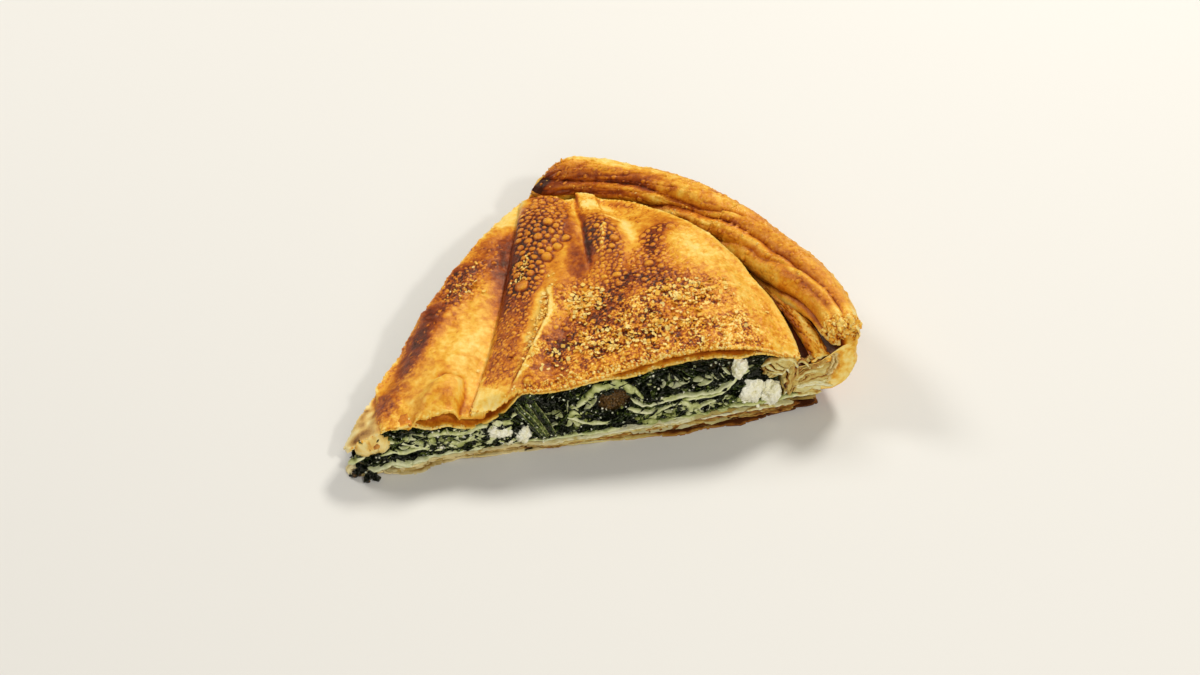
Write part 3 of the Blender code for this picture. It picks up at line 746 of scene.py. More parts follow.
def join_pieces(pieces, name):
    bpy.ops.object.select_all(action="DESELECT")
    for piece in pieces:
        piece.select_set(True)
    bpy.context.view_layer.objects.active = pieces[0]
    bpy.ops.object.join()
    joined = bpy.context.object
    joined.name = name
    joined.data.name = name
    return joined


def copy_piece(pattern, name, points):
    made = pattern.copy()
    made.data = pattern.data.copy()
    made.name = name
    bpy.context.scene.collection.objects.link(made)
    set_points(made, points)
    return made


def cut_frame(side, along):
    """A place on the front or the back cut, the way along the cut and the way out of it."""
    if side == "front":
        return np.array([TIP[0] + along, TIP[1]]), np.array([1.0, 0.0]), np.array([0.0, -1.0])
    place = np.array([TIP[0] + BACK_CUT[0] * along, TIP[1] + BACK_CUT[1] * along])
    return place, np.array(BACK_CUT), np.array(BACK_OUT)


# The bundle of stalks stands in the front cut along these (x, z) points, and no shred lies over it either.
STALK_PATH = ((-27.2, 18.2), (-25.4, 15.0), (-23.4, 11.2), (-21.4, 7.3), (-19.6, 3.8))


def on_stalks(x, z):
    path_x, path_z = np.array(STALK_PATH[::-1]).T
    return abs(x - np.interp(z, path_z, path_x)) < 2.4


def on_cheese(x, z):
    spare = 0.8 if x > 0 else -1.1
    return any(
        math.hypot((x - middle_x) / (half_width + spare), (z - middle_z) / (half_height + spare)) < 1
        for node, middle_x, middle_z, half_width, half_height, seed in FETA_LUMPS
    )


def leaf_shreds(side, count, longest):
    """Strips of leaf over one cut, each with its length, width, lean and curl drawn in turn."""
    made = []
    for i in range(count):
        along = draw.uniform(7, longest)
        length, width = draw.uniform(3.0, 9), draw.uniform(0.6, 1.8)
        lean = draw.normal(0, 0.35)
        place, way, out = cut_frame(side, along)
        low, high = at_place(base_top, *place), at_place(top_underside, *place)
        if high - low < 2.5:
            continue
        height = draw.uniform(low + 0.8, high - 0.8)
        in_hollow = math.hypot((place[0] - HOLLOW[0]) / 7.0, (height - HOLLOW[1]) / 5.0) < 1
        if side == "front" and (in_hollow or on_stalks(place[0], height) or on_cheese(place[0], height)):
            continue
        share, wide = pattern_points[:, 0] - 0.5, pattern_points[:, 1] - 0.5
        curl, phase = draw.uniform(0.3, 1.1), draw.uniform(0, 6.3)
        s = share * length
        narrow = 1 - 1.7 * share**2
        up = wide * width * narrow + curl * np.sin(share * draw.uniform(3, 7) + phase)
        deep = (
            0.7 * np.sin(share * draw.uniform(4, 9) + phase * 2)
            + 0.9 * np.sin(wide * draw.uniform(2, 6) + phase)
        )
        deep = deep + draw.uniform(-1.0, 0.1) + 0.22 * pattern_upper
        run_part = s * math.cos(lean) - up * math.sin(lean)
        z = height + s * math.sin(lean) + up * math.cos(lean)
        z = np.clip(z, low + 0.6, high - 0.9)
        deep = deep * smooth((z - low) / 2.5)
        if side == "front":
            deep = deep - undercut(place[0] + run_part, z)
        plan = place + run_part[:, None] * way + deep[:, None] * out
        bent = np.stack([plan[:, 0], plan[:, 1], z], 1)
        bent += 0.16 * shaken(bent, 1.3, 40)
        shred = copy_piece(pattern, f"shred_{i}", bent)
        rib = 0.30 * hump(wide, 0.12) + 0.46 * draw.uniform(0, 1) ** 3 + 0.30 * (np.abs(wide) > 0.45)
        paint(shred, "leaf_tone_and_highlight", 0.12 + rib)
        paint(shred, "stain", 0 * rib)
        made.append(shred)
    return made


for side, count, longest in (("front", 430, 124), ("back", 190, 104)):
    shreds = join_pieces(leaf_shreds(side, count, longest), f"spinach_shreds_{side}")
    settle(shreds, spinach_finish, ["spinach_filling"], 80)
bpy.data.objects.remove(pattern)

# Inner sheets: two single filo leaves laid into the filling, boiled soft and pale green by it.
# They run right through the slice and stand out of both cuts as thin wavy lips.
LEAF_REACH = ((-8, 65.5), (90, 65.5))
UPPER_LEAF = (
    (-62, 9), (-56, 10.2), (-48, 12.2), (-40, 12.6), (-30, 12.0), (-22, 12.0), (-15, 12.4), (-10, 15.4),
    (-5, 18.2), (0, 19.8), (3.5, 18.6), (6, 13.6), (10, 10.8), (17, 12.2), (25, 11.6), (32, 13.2),
    (37, 16.6), (43, 19.2),
)
LOWER_LEAF = (
    (-56, 5.0), (-48, 5.6), (-40, 6.4), (-30, 5.0), (-22, 6.6), (-15, 9.4), (-8, 7.0), (0, 6.6), (7, 8.2),
    (14, 9.6), (20, 7.4), (28, 8.0), (36, 6.6), (44, 6.2),
)
inner_finish = baked_filo("boiled_filo", (
    (0.00, (0.76, 0.77, 0.47)),
    (0.30, (0.56, 0.59, 0.25)),
    (0.60, (0.27, 0.30, 0.075)),
    (0.85, (0.10, 0.12, 0.02)),
    (1.00, (0.03, 0.03, 0.01)),
), 0.3, 0.34)
for name, node, path, start, share, seed in (
    ("inner_sheet_upper", "inner_filo_upper", UPPER_LEAF, 0.16, 0.5, 21),
    ("inner_sheet_lower", "inner_filo_lower", LOWER_LEAF, 0.2, 0.27, 25),
):
    def leaf_outline(x, y, seed=seed, start=start):
        along = plane_points(x, 0 * x, seed)
        ragged = 0.5 * noise3(along, 5, seed) + 0.25 * noise3(along, 1.4, seed)
        tip_line = (x - TIP[0]) * 0.9 + (y - TIP[1]) * 0.44 - start * 125
        return (
            front_edge(x, y, ragged - 0.2),
            back_edge(x, y, ragged - 0.2),
            rim_edge(x, y, LEAF_REACH, 0.0),
            (tip_line, -0.9 + 0 * x, -0.44 + 0 * x),
        )

    sheet, points, upper, inside = cut_sheet(name, 0.95, (-70, -56), (50, 30), leaf_outline)
    x, y = points[:, 0], points[:, 1]
    low, high = base_top(x, y) + 0.8, top_underside(x, y) - 1.0
    shift = x - 0.15 * (y - TIP[1])
    middle = through(path, shift)
    plain = low + (high - low) * share
    middle = plain + (middle - plain) * hump(inside_front(y), 14)
    middle += (
        0.9 * noise3(plane_points(x, y, seed), 7, seed) + 0.3 * noise3(plane_points(x, y, seed), 2.2, seed)
    )
    middle = np.clip(middle, low, high)
    thick = 0.55 + 0.2 * noise3(plane_points(x, y, 3), 3, seed)
    points[:, 2] = middle + np.where(upper, 0.5, -0.5) * thick
    set_points(sheet, points)
    paint(sheet, "browning", 0.22 + 0.35 * noise3(plane_points(x, y, 6), 4, seed) + 0.2 * smooth(inside / 3))
    settle(sheet, inner_finish, [node])

# Sheet lips: where the inner sheets and pale leaves meet a cut they curl out of it as soft rounded lips,
# broad where they turn to face the cut. Each one is a flat tube drawn along its line on the cut.
# Each front lip: half thickness, half depth, tone and its line of (x, z) on the cut.
FRONT_LIPS = (
    (
        1.75, 0.9, 0.50,
        ((-8.6, 16.4), (-6.2, 18.9), (-3.4, 20.3), (-0.6, 20.9), (2.2, 20.3), (4.2, 18.4), (5.2, 15.6)),
    ),
    (0.75, 1.1, 0.26, ((-13.4, 13.6), (-11.2, 14.6), (-9.2, 16.2), (-7.6, 17.6))),
    (0.52, 1.2, 0.12, (
        (4.6, 14.5), (6.2, 12.6), (8, 11.6), (10.2, 10.4), (13, 11.2), (17, 11.9), (21.2, 12.2), (25.6, 12.4),
        (29.5, 12.1), (32.3, 13), (34.9, 15.2), (37.1, 17.6), (40.3, 19.2), (43.6, 19.6),
    )),
    (0.45, 0.9, 0.25, ((20, 10.8), (24, 11.2), (28, 10.8), (32, 11.4), (35.4, 14.2), (37.4, 16.4))),
    (
        0.62, 1.1, 0.16,
        ((-14.8, 10.6), (-13, 10.1), (-11.4, 9.6), (-9.5, 8.1), (-6.2, 7.1), (-2.9, 6.4), (0.9, 6.5)),
    ),
    (
        0.60, 1.1, 0.14,
        ((3.6, 10.4), (5.8, 9.5), (9.2, 7.8), (12.5, 7.4), (14.7, 9), (17.4, 9.6), (20.7, 9.4)),
    ),
    (1.25, 1.1, 0.22, ((19.6, 9.4), (21.6, 9.3), (22.8, 7.6), (22.6, 5.6), (21.6, 3.9))),
    (0.50, 0.9, 0.20, ((22.4, 4.4), (25.2, 6.3), (28.5, 8.7), (32.4, 9.3), (35.5, 9.0))),
    (0.95, 0.9, 0.34, ((-14.6, 10.6), (-12.8, 12.2), (-10.4, 11.6), (-9.4, 9.8))),
    (0.80, 0.8, 0.50, ((5.6, 19.4), (6.4, 17), (7.4, 14.6), (8.6, 13.2))),
    (0.60, 0.8, 0.42, ((9.4, 19.2), (11, 18.6), (12.2, 17.4))),
    (0.34, 1.0, 0.42, ((8, 2.9), (12, 2.8), (17, 4.2), (23, 3.9), (29, 4.6))),
    (0.36, 1.0, 0.36, ((31, 4.4), (35, 5.6), (42, 5.0), (50, 5.6), (56, 6.6))),
    (
        0.55, 1.0, 0.16,
        ((-72.5, 12.6), (-68, 12.2), (-64, 10.6), (-60, 9), (-56.8, 6.9), (-53.5, 5.6), (-50, 6)),
    ),
    (
        0.80, 1.9, 0.06,
        (
            (-74, 2.4), (-71, 1.7), (-68, 2.8), (-65.6, 4.3), (-63.4, 2.9), (-61.4, 1.8), (-59.4, 3.3),
            (-57, 2.1), (-54.4, 1.5),
        ),
    ),
    (
        0.60, 1.3, 0.16,
        (
            (-67, 3.2), (-64, 1.6), (-61.4, 2.9), (-58.6, 1.4), (-55.6, 2.2), (-51, 2.6), (-45, 3.2),
            (-39, 2.8),
        ),
    ),
    (0.70, 0.9, 0.30, ((-56, 11.2), (-52, 12.2), (-48, 10.6), (-44, 10.8), (-40, 12.4), (-36, 11.4))),
    (0.60, 0.9, 0.26, ((-52, 8.4), (-47, 7.4), (-43, 8.6), (-39, 7.0))),
    (0.55, 0.9, 0.36, ((-36, 6.0), (-32, 4.6), (-28.6, 5.4))),
    (0.60, 0.8, 0.20, ((-31.6, 13.0), (-29.6, 15.2), (-27.6, 17.2))),
    (0.45, 0.9, 0.24, ((-34, 2.8), (-26, 3.2), (-19, 3.0), (-12, 3.6), (-5, 3.0), (2, 3.2))),
    (1.05, 1.5, 0.22, ((-79.2, 5.0), (-77.6, 6.0), (-75.6, 7.3), (-73.6, 7.6))),
    (0.60, 0.9, 0.30, ((-70, 6.4), (-66, 7.6), (-62, 6.2), (-58, 7.4), (-54, 6.6))),
)


def cut_lip(name, side, half_thick, half_deep, tone, line, seed, wander=0.45, edge_shade=0.16):
    """One lip along a line of (x, z) on the front cut, or of (run from the tip, z) on the back cut."""
    run, height = np.array(line, float).T
    if side == "front":
        run = run - TIP[0]
    steps = np.concatenate([[0], np.cumsum(np.hypot(np.diff(run), np.diff(height)))])
    long = steps[-1]
    even = np.linspace(0, long, 160)
    run, height = np.interp(even, steps, run), np.interp(even, steps, height)
    for _ in range(40):
        run[1:-1] = (run[:-2] + 2 * run[1:-1] + run[2:]) / 4
        height[1:-1] = (height[:-2] + 2 * height[1:-1] + height[2:]) / 4
    slope = np.arctan2(np.gradient(height), np.gradient(run))
    lip = new_grid(name, max(10, int(long / 0.5)), 10)
    grid = get_points(lip)
    share, turn = grid[:, 0] * long, grid[:, 1] * 2 * math.pi
    slant = np.interp(share, even, slope)
    mark = plane_points(share, 0 * share, seed * 4.0)
    taper = np.sqrt(clamp(np.minimum(share, long - share) / min(2.2, long / 3)))
    wide = (
        0.8 * half_thick * taper * (1 + 0.75 * noise3(mark, 2.6, seed) + 0.35 * noise3(mark, 1.0, seed + 1))
    )
    aside = wander * (noise3(mark, 3.6, seed + 2) + 0.5 * noise3(mark, 1.3, seed + 3)) + wide * np.cos(turn)
    deep = (
        0.35 * noise3(mark, 3.0, seed + 4)
        + half_deep * taper * np.sin(turn) * (1 + 0.3 * noise3(mark, 1.5, seed))
    )
    place, way, out = cut_frame(side, 0.0)
    along = np.interp(share, even, run) - aside * np.sin(slant)
    level = np.interp(share, even, height) + aside * np.cos(slant)
    plan = place + along[:, None] * way + deep[:, None] * out
    points = np.column_stack([plan, level])
    points[:, 2] = np.maximum(points[:, 2], 0.3)
    if side == "front":
        points[:, 1] += undercut(points[:, 0], points[:, 2])
    points += 0.10 * shaken(points, 1.1, seed)
    set_points(lip, points)
    mottle = 0.34 * noise3(points, 2.2, seed) + 0.26 * noise3(points, 0.9, seed + 6)
    # The lip's top and bottom edges are painted darker by edge_shade: painted shade in the grooves between
    # lips lying side by side.
    paint(lip, "browning", tone + mottle - 0.12 * np.sin(turn) + edge_shade * np.cos(turn) ** 4)
    weld(lip)
    return lip


lips = [
    cut_lip(f"lip_{i}", "front", thick, deep, tone, line, 200 + 7 * i)
    for i, (thick, deep, tone, line) in enumerate(FRONT_LIPS)
]
balls = {}


def torn_lump(name, centre, radii, seed, detail):
    """A torn lump, from a ball that is modelled once for each fineness."""
    if detail not in balls:
        bpy.ops.object.select_all(action="DESELECT")
        bpy.ops.mesh.primitive_ico_sphere_add(subdivisions=detail, radius=1)
        balls[detail] = bpy.context.object
        balls[detail].name = balls[detail].data.name = f"ball_{detail}"
    way = get_points(balls[detail])
    way /= np.linalg.norm(way, axis=1)[:, None]
    rough = 1 + 0.36 * noise3(way, 0.9, seed) + 0.16 * noise3(way, 0.36, seed + 1)
    chips = np.abs(noise3(way, 0.5, seed + 2))
    rough -= 0.14 * smooth((0.14 - chips) / 0.14) + 0.05 * noise3(way, 0.12, seed + 3)
    return copy_piece(balls[detail], name, np.array(centre) + way * rough[:, None] * np.array(radii))


# Crumpled bits of the same leaves: middle x and z, spreads, count, smallest, largest, and range of tone.
LEAF_BITS = (
    (-45.0, 7.6, 8.5, 2.6, 34, 0.9, 2.1, 0.04, 0.62),
    (-34.0, 8.4, 3.2, 2.4, 12, 0.8, 1.9, 0.00, 0.34),
    (-58.0, 9.6, 5.0, 1.8, 10, 0.7, 1.6, 0.10, 0.66),
    (18.0, 6.0, 9.0, 1.7, 16, 0.6, 1.4, 0.24, 0.80),
    (-10.5, 8.4, 2.6, 2.0, 8, 0.7, 1.5, 0.22, 0.70),
    (33.0, 7.4, 4.0, 2.0, 8, 0.6, 1.3, 0.26, 0.80),
)
for middle_x, middle_z, spread_x, spread_z, count, small, large, pale, green in LEAF_BITS:
    for i in range(count):
        x, z = middle_x + draw.normal(0, spread_x * 0.6), max(2.2, middle_z + draw.normal(0, spread_z))
        z = min(z, at_place(top_underside, x, TIP[1]) - 1.2)
        size = draw.uniform(small, large)
        centre = (x, TIP[1] + 0.35 + undercut(x, z) - draw.uniform(0, 0.4), z)
        bit = torn_lump(
            f"bit_{len(lips)}", centre, (size * draw.uniform(0.8, 1.5), 0.9, size * 0.8), 300 + len(lips),
            3,
        )
        tone = draw.uniform(pale, green)
        paint(bit, "browning", tone + 0.30 * noise3(get_points(bit), 1.1, len(lips)))
        lips.append(bit)
# Thin pale fibres of the stems, partly standing for highlights along the leaf folds: middle x and z, spreads
# and count.
FIBRES = ((24, 18.5, 11, 2.6, 15), (-12, 12, 6, 4, 9), (-50, 10.5, 13, 2.2, 12), (20, 7.5, 14, 1.6, 9))
for middle_x, middle_z, spread_x, spread_z, count in FIBRES:
    for i in range(count):
        x, z = middle_x + draw.uniform(-1, 1) * spread_x, middle_z + draw.uniform(-1, 1) * spread_z
        lean, half = draw.normal(0, 0.7), draw.uniform(0.8, 2.6)
        curl = draw.normal(0, 0.5)
        line = [
            (x + half * t * math.cos(lean), z + half * t * math.sin(lean) + curl * (1 - t * t))
            for t in (-1, -0.3, 0.4, 1)
        ]
        thick, tone = draw.uniform(0.13, 0.24), draw.uniform(0.0, 0.4)
        lips.append(
            cut_lip(f"fibre_{len(lips)}", "front", thick, 1.5, tone, line, 1500 + 3 * len(lips), 0.2, 0.0)
        )
front_lips = join_pieces(lips, "sheet_lips_front")
settle(front_lips, inner_finish, ["inner_filo_upper"], 80)
# The edges of the base sheets part into thin leaves here and there. Each: its share of the base's height,
# first and last x, half thickness and tone.
BASE_LEAVES = (
    (0.74, -44, 22, 0.24, 0.34), (0.30, -30, 56, 0.26, 0.74), (0.94, -66, 30, 0.26, 0.06),
    (0.50, -62, 50, 0.22, 0.62), (0.84, 10, 56, 0.24, 0.20), (0.66, 22, 58, 0.20, 0.86),
)
leaves = []
for i, (share, first, last, thick, tone) in enumerate(BASE_LEAVES):
    line = [(x, share * at_place(base_top, x, TIP[1])) for x in np.arange(first, last, 5.0)]
    leaves.append(cut_lip(f"leaf_{i}", "front", thick, 1.5, tone, line, 370 + 7 * i, 0.4, 0.0))
base_leaves = join_pieces(leaves, "base_leaves")
paint(base_leaves, "soaked", soaked_share(get_points(base_leaves)[:, 0]))
settle(base_leaves, base_finish, None, 80)
# The back cut isn't in view, so its lips are drawn at random places.
lips = []
for i in range(22):
    start, long = draw.uniform(20, 84), draw.uniform(5, 22)
    low, high = 4.0, 10.5 + 0.10 * start
    level = draw.uniform(low, high)
    knots = [(start + long * j / 4, min(max(level + draw.normal(0, 1.2), low), high)) for j in range(5)]
    lips.append(
        cut_lip(f"lip_{i}", "back", draw.uniform(0.4, 0.9), 1.0, draw.uniform(0.1, 0.4), knots, 400 + 7 * i)
    )
back_lips = join_pieces(lips, "sheet_lips_back")
settle(back_lips, inner_finish, ["inner_filo_lower"], 80)

# Stalks: a bundle of spinach stalks folded over and cut through with the slice, about a third of the way in.
# Each is a thin round stalk that bends down from under the top sheets to the base.
STALKS = 6
stalks = []
for i in range(STALKS):
    bpy.ops.object.select_all(action="DESELECT")
    bpy.ops.mesh.primitive_cylinder_add(vertices=12, radius=1, depth=1, end_fill_type="NGON")
    stalk = bpy.context.object
    bpy.ops.object.mode_set(mode="EDIT")
    for cut in np.linspace(-0.42, 0.42, 11):
        bpy.ops.mesh.select_all(action="SELECT")
        bpy.ops.mesh.bisect(plane_co=(0, 0, cut), plane_no=(0, 0, 1))
    bpy.ops.object.mode_set(mode="OBJECT")
    points = get_points(stalk)
    share = points[:, 2] + 0.5
    path_x, path_z = np.array(STALK_PATH).T
    at = share * (len(path_x) - 1)
    spread = (i - (STALKS - 1) / 2) * 0.98
    radius = (0.60 + 0.10 * math.sin(i * 2.1)) * (1 - 0.35 * np.abs(share - 0.5))
    bow = 0.5 * math.sin(i * 1.7)
    x = np.interp(at, range(len(path_x)), path_x) + spread * (1.1 - 0.35 * share) + points[:, 0] * radius
    x += bow * np.sin(share * math.pi)
    z = np.interp(at, range(len(path_z)), path_z) + points[:, 0] * radius * 0.5 + 0.35 * spread * (1 - share)
    y = (
        TIP[1] - 0.55 - 0.35 * math.cos(i * 1.3) - points[:, 1] * radius + 1.1 * (share < 0.04)
        + 0.7 * (share > 0.96)
    )
    bent = np.stack([x, y, z], 1)
    set_points(stalk, bent)
    # Each stalk has its own tone, and one side is painted paler and the other darker: painted highlight and
    # shade, partly the stalks' paler ribs.
    tone_and_side_light = 0.50 + 0.20 * math.sin(i * 2.6) + 0.40 * (points[:, 0] > 0.8) - 0.3 * (points[:, 0] < -0.8)
    paint(stalk, "leaf_tone_and_highlight", tone_and_side_light + 0.16 * noise3(bent, 1.5, i))
    paint(stalk, "stain", 0 * x)
    stalks.append(stalk)
bundle = join_pieces(stalks, "spinach_stalks")
settle(bundle, spinach_finish, ["spinach_filling"], 80)

# Feta: crumbled white cheese, torn into uneven lumps and cut through with the slice.
# The large lumps stand where the cuts show them, and small crumbs lie between the leaves.
# Each lump in the back cut: node, run from the tip, z, half width, half height and seed.
FETA_BACK_LUMPS = (
    ("feta_back_tip", 46.0, 10.8, 3.2, 2.4, 21),
    ("feta_back_rim", 88.0, 14.0, 3.4, 3.0, 23),
)


def white_cheese(name, colours):
    """Moist crumbled cheese, uneven in its white, with a little green here and there."""
    made, tree, shader, place = new_finish(name)
    grain = noise_node(place, 900, 6)
    blotch = noise_node(place, 300, 3)
    level = plus(times(grain, 0.6), times(blotch, 0.5))
    tree.links.new(ramp_node(level, colours), shader.inputs["Base Color"])
    shader.inputs["Roughness"].default_value = 0.5
    shader.inputs["Specular IOR Level"].default_value = 0.45
    tree.links.new(bump_node(grain, 0.0007, 0.7), shader.inputs["Normal"])
    return made


FETA = (
    (0.30, (0.48, 0.47, 0.20)),
    (0.45, (0.86, 0.81, 0.52)),
    (0.62, (0.98, 0.96, 0.80)),
)
feta_finish = white_cheese("crumbled_feta", FETA)
for node, x, z, half_width, half_height, seed in FETA_LUMPS:
    centre = (x, TIP[1] + 0.1 + undercut(x, z), z)
    lump = torn_lump(node + "_cheese", centre, (half_width, 2.1, half_height), seed, 5)
    settle(lump, feta_finish, [node], 70)
for node, run, z, half_width, half_height, seed in FETA_BACK_LUMPS:
    place, way, out = cut_frame("back", run)
    centre = (*(place - 0.9 * out), z)
    lump = torn_lump(node + "_cheese", centre, (half_width, half_width * 0.8, half_height), seed, 5)
    settle(lump, feta_finish, [node], 70)

# Crumbs: cut, run from the tip, height, spread along the cut, spread in height, count and largest size.
CRUMB_PATCHES = (
    ("front", 43.5, 8.0, 10.0, 6.0, 14, 0.9),
    ("front", 51.0, 7.5, 7.0, 5.0, 18, 1.2),
    ("front", 28.0, 8.0, 16.0, 6.0, 22, 0.6),
    ("front", 8.0, 4.6, 5.0, 3.0, 12, 0.55),
    # The many tiny crumbs over the whole front cut stand partly for cheese and partly for wet glints on the
    # leaves.
    ("front", 85.0, 10.0, 55.0, 11.0, 90, 0.34),
    ("front", 124.0, 9.0, 6.0, 6.0, 14, 0.9),
    ("back", 60.0, 9.0, 40.0, 4.5, 34, 0.85),
)
crumbs = []
for side, run, height, spread, tall, count, largest in CRUMB_PATCHES:
    for i in range(count):
        along = run + draw.normal(0, spread * 0.5)
        z = height + draw.normal(0, tall * 0.5)
        if not 9 < along < (124 if side == "front" else 86):
            continue
        place, way, out = cut_frame(side, along)
        z = min(max(z, 2.6), at_place(top_underside, *place) - 1.7)
        size = largest * draw.uniform(0.35, 1.0)
        back = float(undercut(place[0], z)) if side == "front" else 0.0
        centre = (*(place + out * (draw.uniform(-0.3, 0.35) - back)), z)
        radii = size * draw.uniform(0.7, 1.3, 3)
        crumbs.append(torn_lump(f"crumb_{len(crumbs)}", centre, radii, 60 + len(crumbs), 2))
crumb_piece = join_pieces(crumbs, "feta_crumbs")
settle(crumb_piece, feta_finish, None, 70)

# Scraps: a few dark wilted bits that fell out at the tip when the slice was lifted, and lie against it.
# Each is one small torn lump of leaf: its middle (x, y, z) and its three half sizes.
SCRAPS = (
    (-73.2, -55.3, 1.3, 1.9, 1.3, 1.2), (-71.6, -56.4, 0.8, 1.2, 0.8, 0.8),
    (-77.0, -53.9, 1.6, 1.5, 1.1, 1.4), (-75.2, -54.0, 2.6, 1.3, 1.0, 1.1),
    (-74.4, -56.6, 0.7, 0.9, 0.7, 0.7), (-78.3, -53.4, 0.7, 0.8, 0.8, 0.6),
)
scraps = []
for i, (x, y, z, half_x, half_y, half_z) in enumerate(SCRAPS):
    scrap = torn_lump(f"scrap_{i}", (x, y, z), (half_x, half_y, half_z), 640 + 5 * i, 4)
    points = get_points(scrap)
    points += 0.5 * shaken(points, 0.9, 650)
    points[:, 2] = np.maximum(points[:, 2], 0.05)
    set_points(scrap, points)
    paint(scrap, "leaf_tone_and_highlight", 0.18 + 0.4 * noise3(points, 0.8, 655 + i))
    paint(scrap, "stain", smooth(noise3(points, 1.5, 658) * 3) * (i in (2, 4)))
    scraps.append(scrap)
scrap_piece = join_pieces(scraps, "spinach_scraps")
settle(scrap_piece, spinach_finish, None, 80)

# Second top sheet: the filo sheet that lies straight on the filling, golden brown inside the opening
# and with a thin ragged cut edge that hangs a little in front of the spinach.
FRONT_LINE = (
    (-80, -0.4), (-70, 0.2), (-60, 0.6), (-50, 0.9), (-44, 0.2), (-38, -0.4), (-29, -0.9), (-22, 0.1),
    (-13, 0.9), (-5, 0.7), (7, -0.5), (16, -1.1), (25, -1.0), (34, -0.1), (40, 1.0), (46, 1.4), (53, -0.6),
    (58, -1.6),
)
TOP_REACH = (
    (-8, 75.6), (15, 75), (21, 74), (28, 76.2), (38, 77.2), (47, 78.6), (55, 81.4), (64, 84.6), (90, 84.4),
)
top_finish = baked_filo("baked_filo", BAKED, 0.30, 0.31)
# Points along the front edges of the top sheets, where crumbs of the broken crust cling.
crumbled_edges = []


def note_edge(points, upper, inside):
    """Keeps the places where crumbs cling: the upper front edge but for its point and the pleat's end."""
    x, y = points[:, 0], points[:, 1]
    edge = upper & (inside < 0.6) & (inside_front(y) < 2.5)
    crumbled_edges.append(points[edge & (x > -78.6) & (np.abs(x + 34.5) > 6)])


def ragged_front(x, seed, coarse=0.35, teeth=0.22):
    along = plane_points(x, 0 * x, seed * 3.0)
    return (
        coarse * noise3(along, 3.2, seed) + teeth * noise3(along, 0.9, seed + 1)
        + 0.6 * teeth * noise3(along, 0.45, seed + 2)
    )


def ellipse(x, y, patch):
    """1 in the middle of a patch (x, y, half length, half width, turn in degrees), falling off round it."""
    centre_x, centre_y, half_length, half_width, turn = patch
    turn = math.radians(turn)
    along = (x - centre_x) * math.cos(turn) + (y - centre_y) * math.sin(turn)
    aside = -(x - centre_x) * math.sin(turn) + (y - centre_y) * math.cos(turn)
    return np.exp(-((along / half_length) ** 2) - (aside / half_width) ** 2)


def patches(table, x, y):
    """Sum of elliptical patches, each given as its amount and then as for ellipse."""
    return sum(amount * ellipse(x, y, patch) for amount, patch in table)


def second_outline(x, y):
    return (
        front_edge(x, y, through(FRONT_LINE, x) + 0.2 + ragged_front(x, 31)),
        back_edge(x, y, 1.0 + ragged_front(x + y, 33)),
        rim_edge(x, y, TOP_REACH, -0.8 + 0.3 * ragged_front(x - y, 35)),
        tip_edge(x, y, 1.6 + ragged_front(y * 2, 37)),
    )


sheet, points, upper, inside = cut_sheet("second_top_sheet", 0.6, (-79.9, -57), (60, 40), second_outline)
x, y = points[:, 0], points[:, 1]
crinkle = 0.28 * ruffle(plane_points(x, y, 2), 4, 3, 37)
bubbles = np.maximum(0, noise3(plane_points(x, y, 8), 1.5, 38)) * 0.35
middle = top_underside(x, y) + 0.45 + crinkle * (0.4 + 0.6 * smooth(inside / 2))
points[:, 2] = middle + np.where(upper, 0.38 + bubbles, -0.34) - 0.12 * hump(inside, 0.4)
set_points(sheet, points)
note_edge(points, upper, inside)
brown = 0.58 + 0.10 * ruffle(plane_points(x, y, 5), 6, 3, 39) - 0.42 * hump(inside, 0.7)
brown -= 0.06 * smooth((-30 - x) / 10) + 0.20 * smooth((-76 - x) / 2.5)
at_tip = smooth((-68.5 - x) / 2.5)
brown -= at_tip * (0.20 + 0.50 * noise3(plane_points(x, y, 6), 2.6, 40))
brown += 0.30 * ellipse(x, y, (-74.0, -50.5, 3.6, 1.3, 10))
paint(sheet, "browning", brown)
paint(sheet, "soaked", 0.75 * at_tip)
settle(sheet, top_finish, ["top_filo"])

# Hanging flap: near the tip the second sheet's edge folds down over the cut, browned where it is creased.
# It is a broad soft lip of the sheet with a narrow browned fold on it.
FLAP_LINE = ((-76.6, 8.6), (-73.6, 10.6), (-70.2, 11.4), (-66.4, 10.0))
FLAP_FOLD_LINE = ((-75.9, 9.8), (-73.2, 11.2), (-70.4, 11.6), (-68.2, 10.6))
flap = cut_lip("flap_wide", "front", 3.4, 1.9, 0.16, FLAP_LINE, 331, 0.3, 0.1)
fold = cut_lip("flap_brown", "front", 1.3, 2.1, 0.62, FLAP_FOLD_LINE, 341, 0.4, 0.0)
hanging_flap = join_pieces([flap, fold], "hanging_flap")
paint(hanging_flap, "soaked", np.full(len(hanging_flap.data.vertices), 0.35))
settle(hanging_flap, top_finish, None, 60)

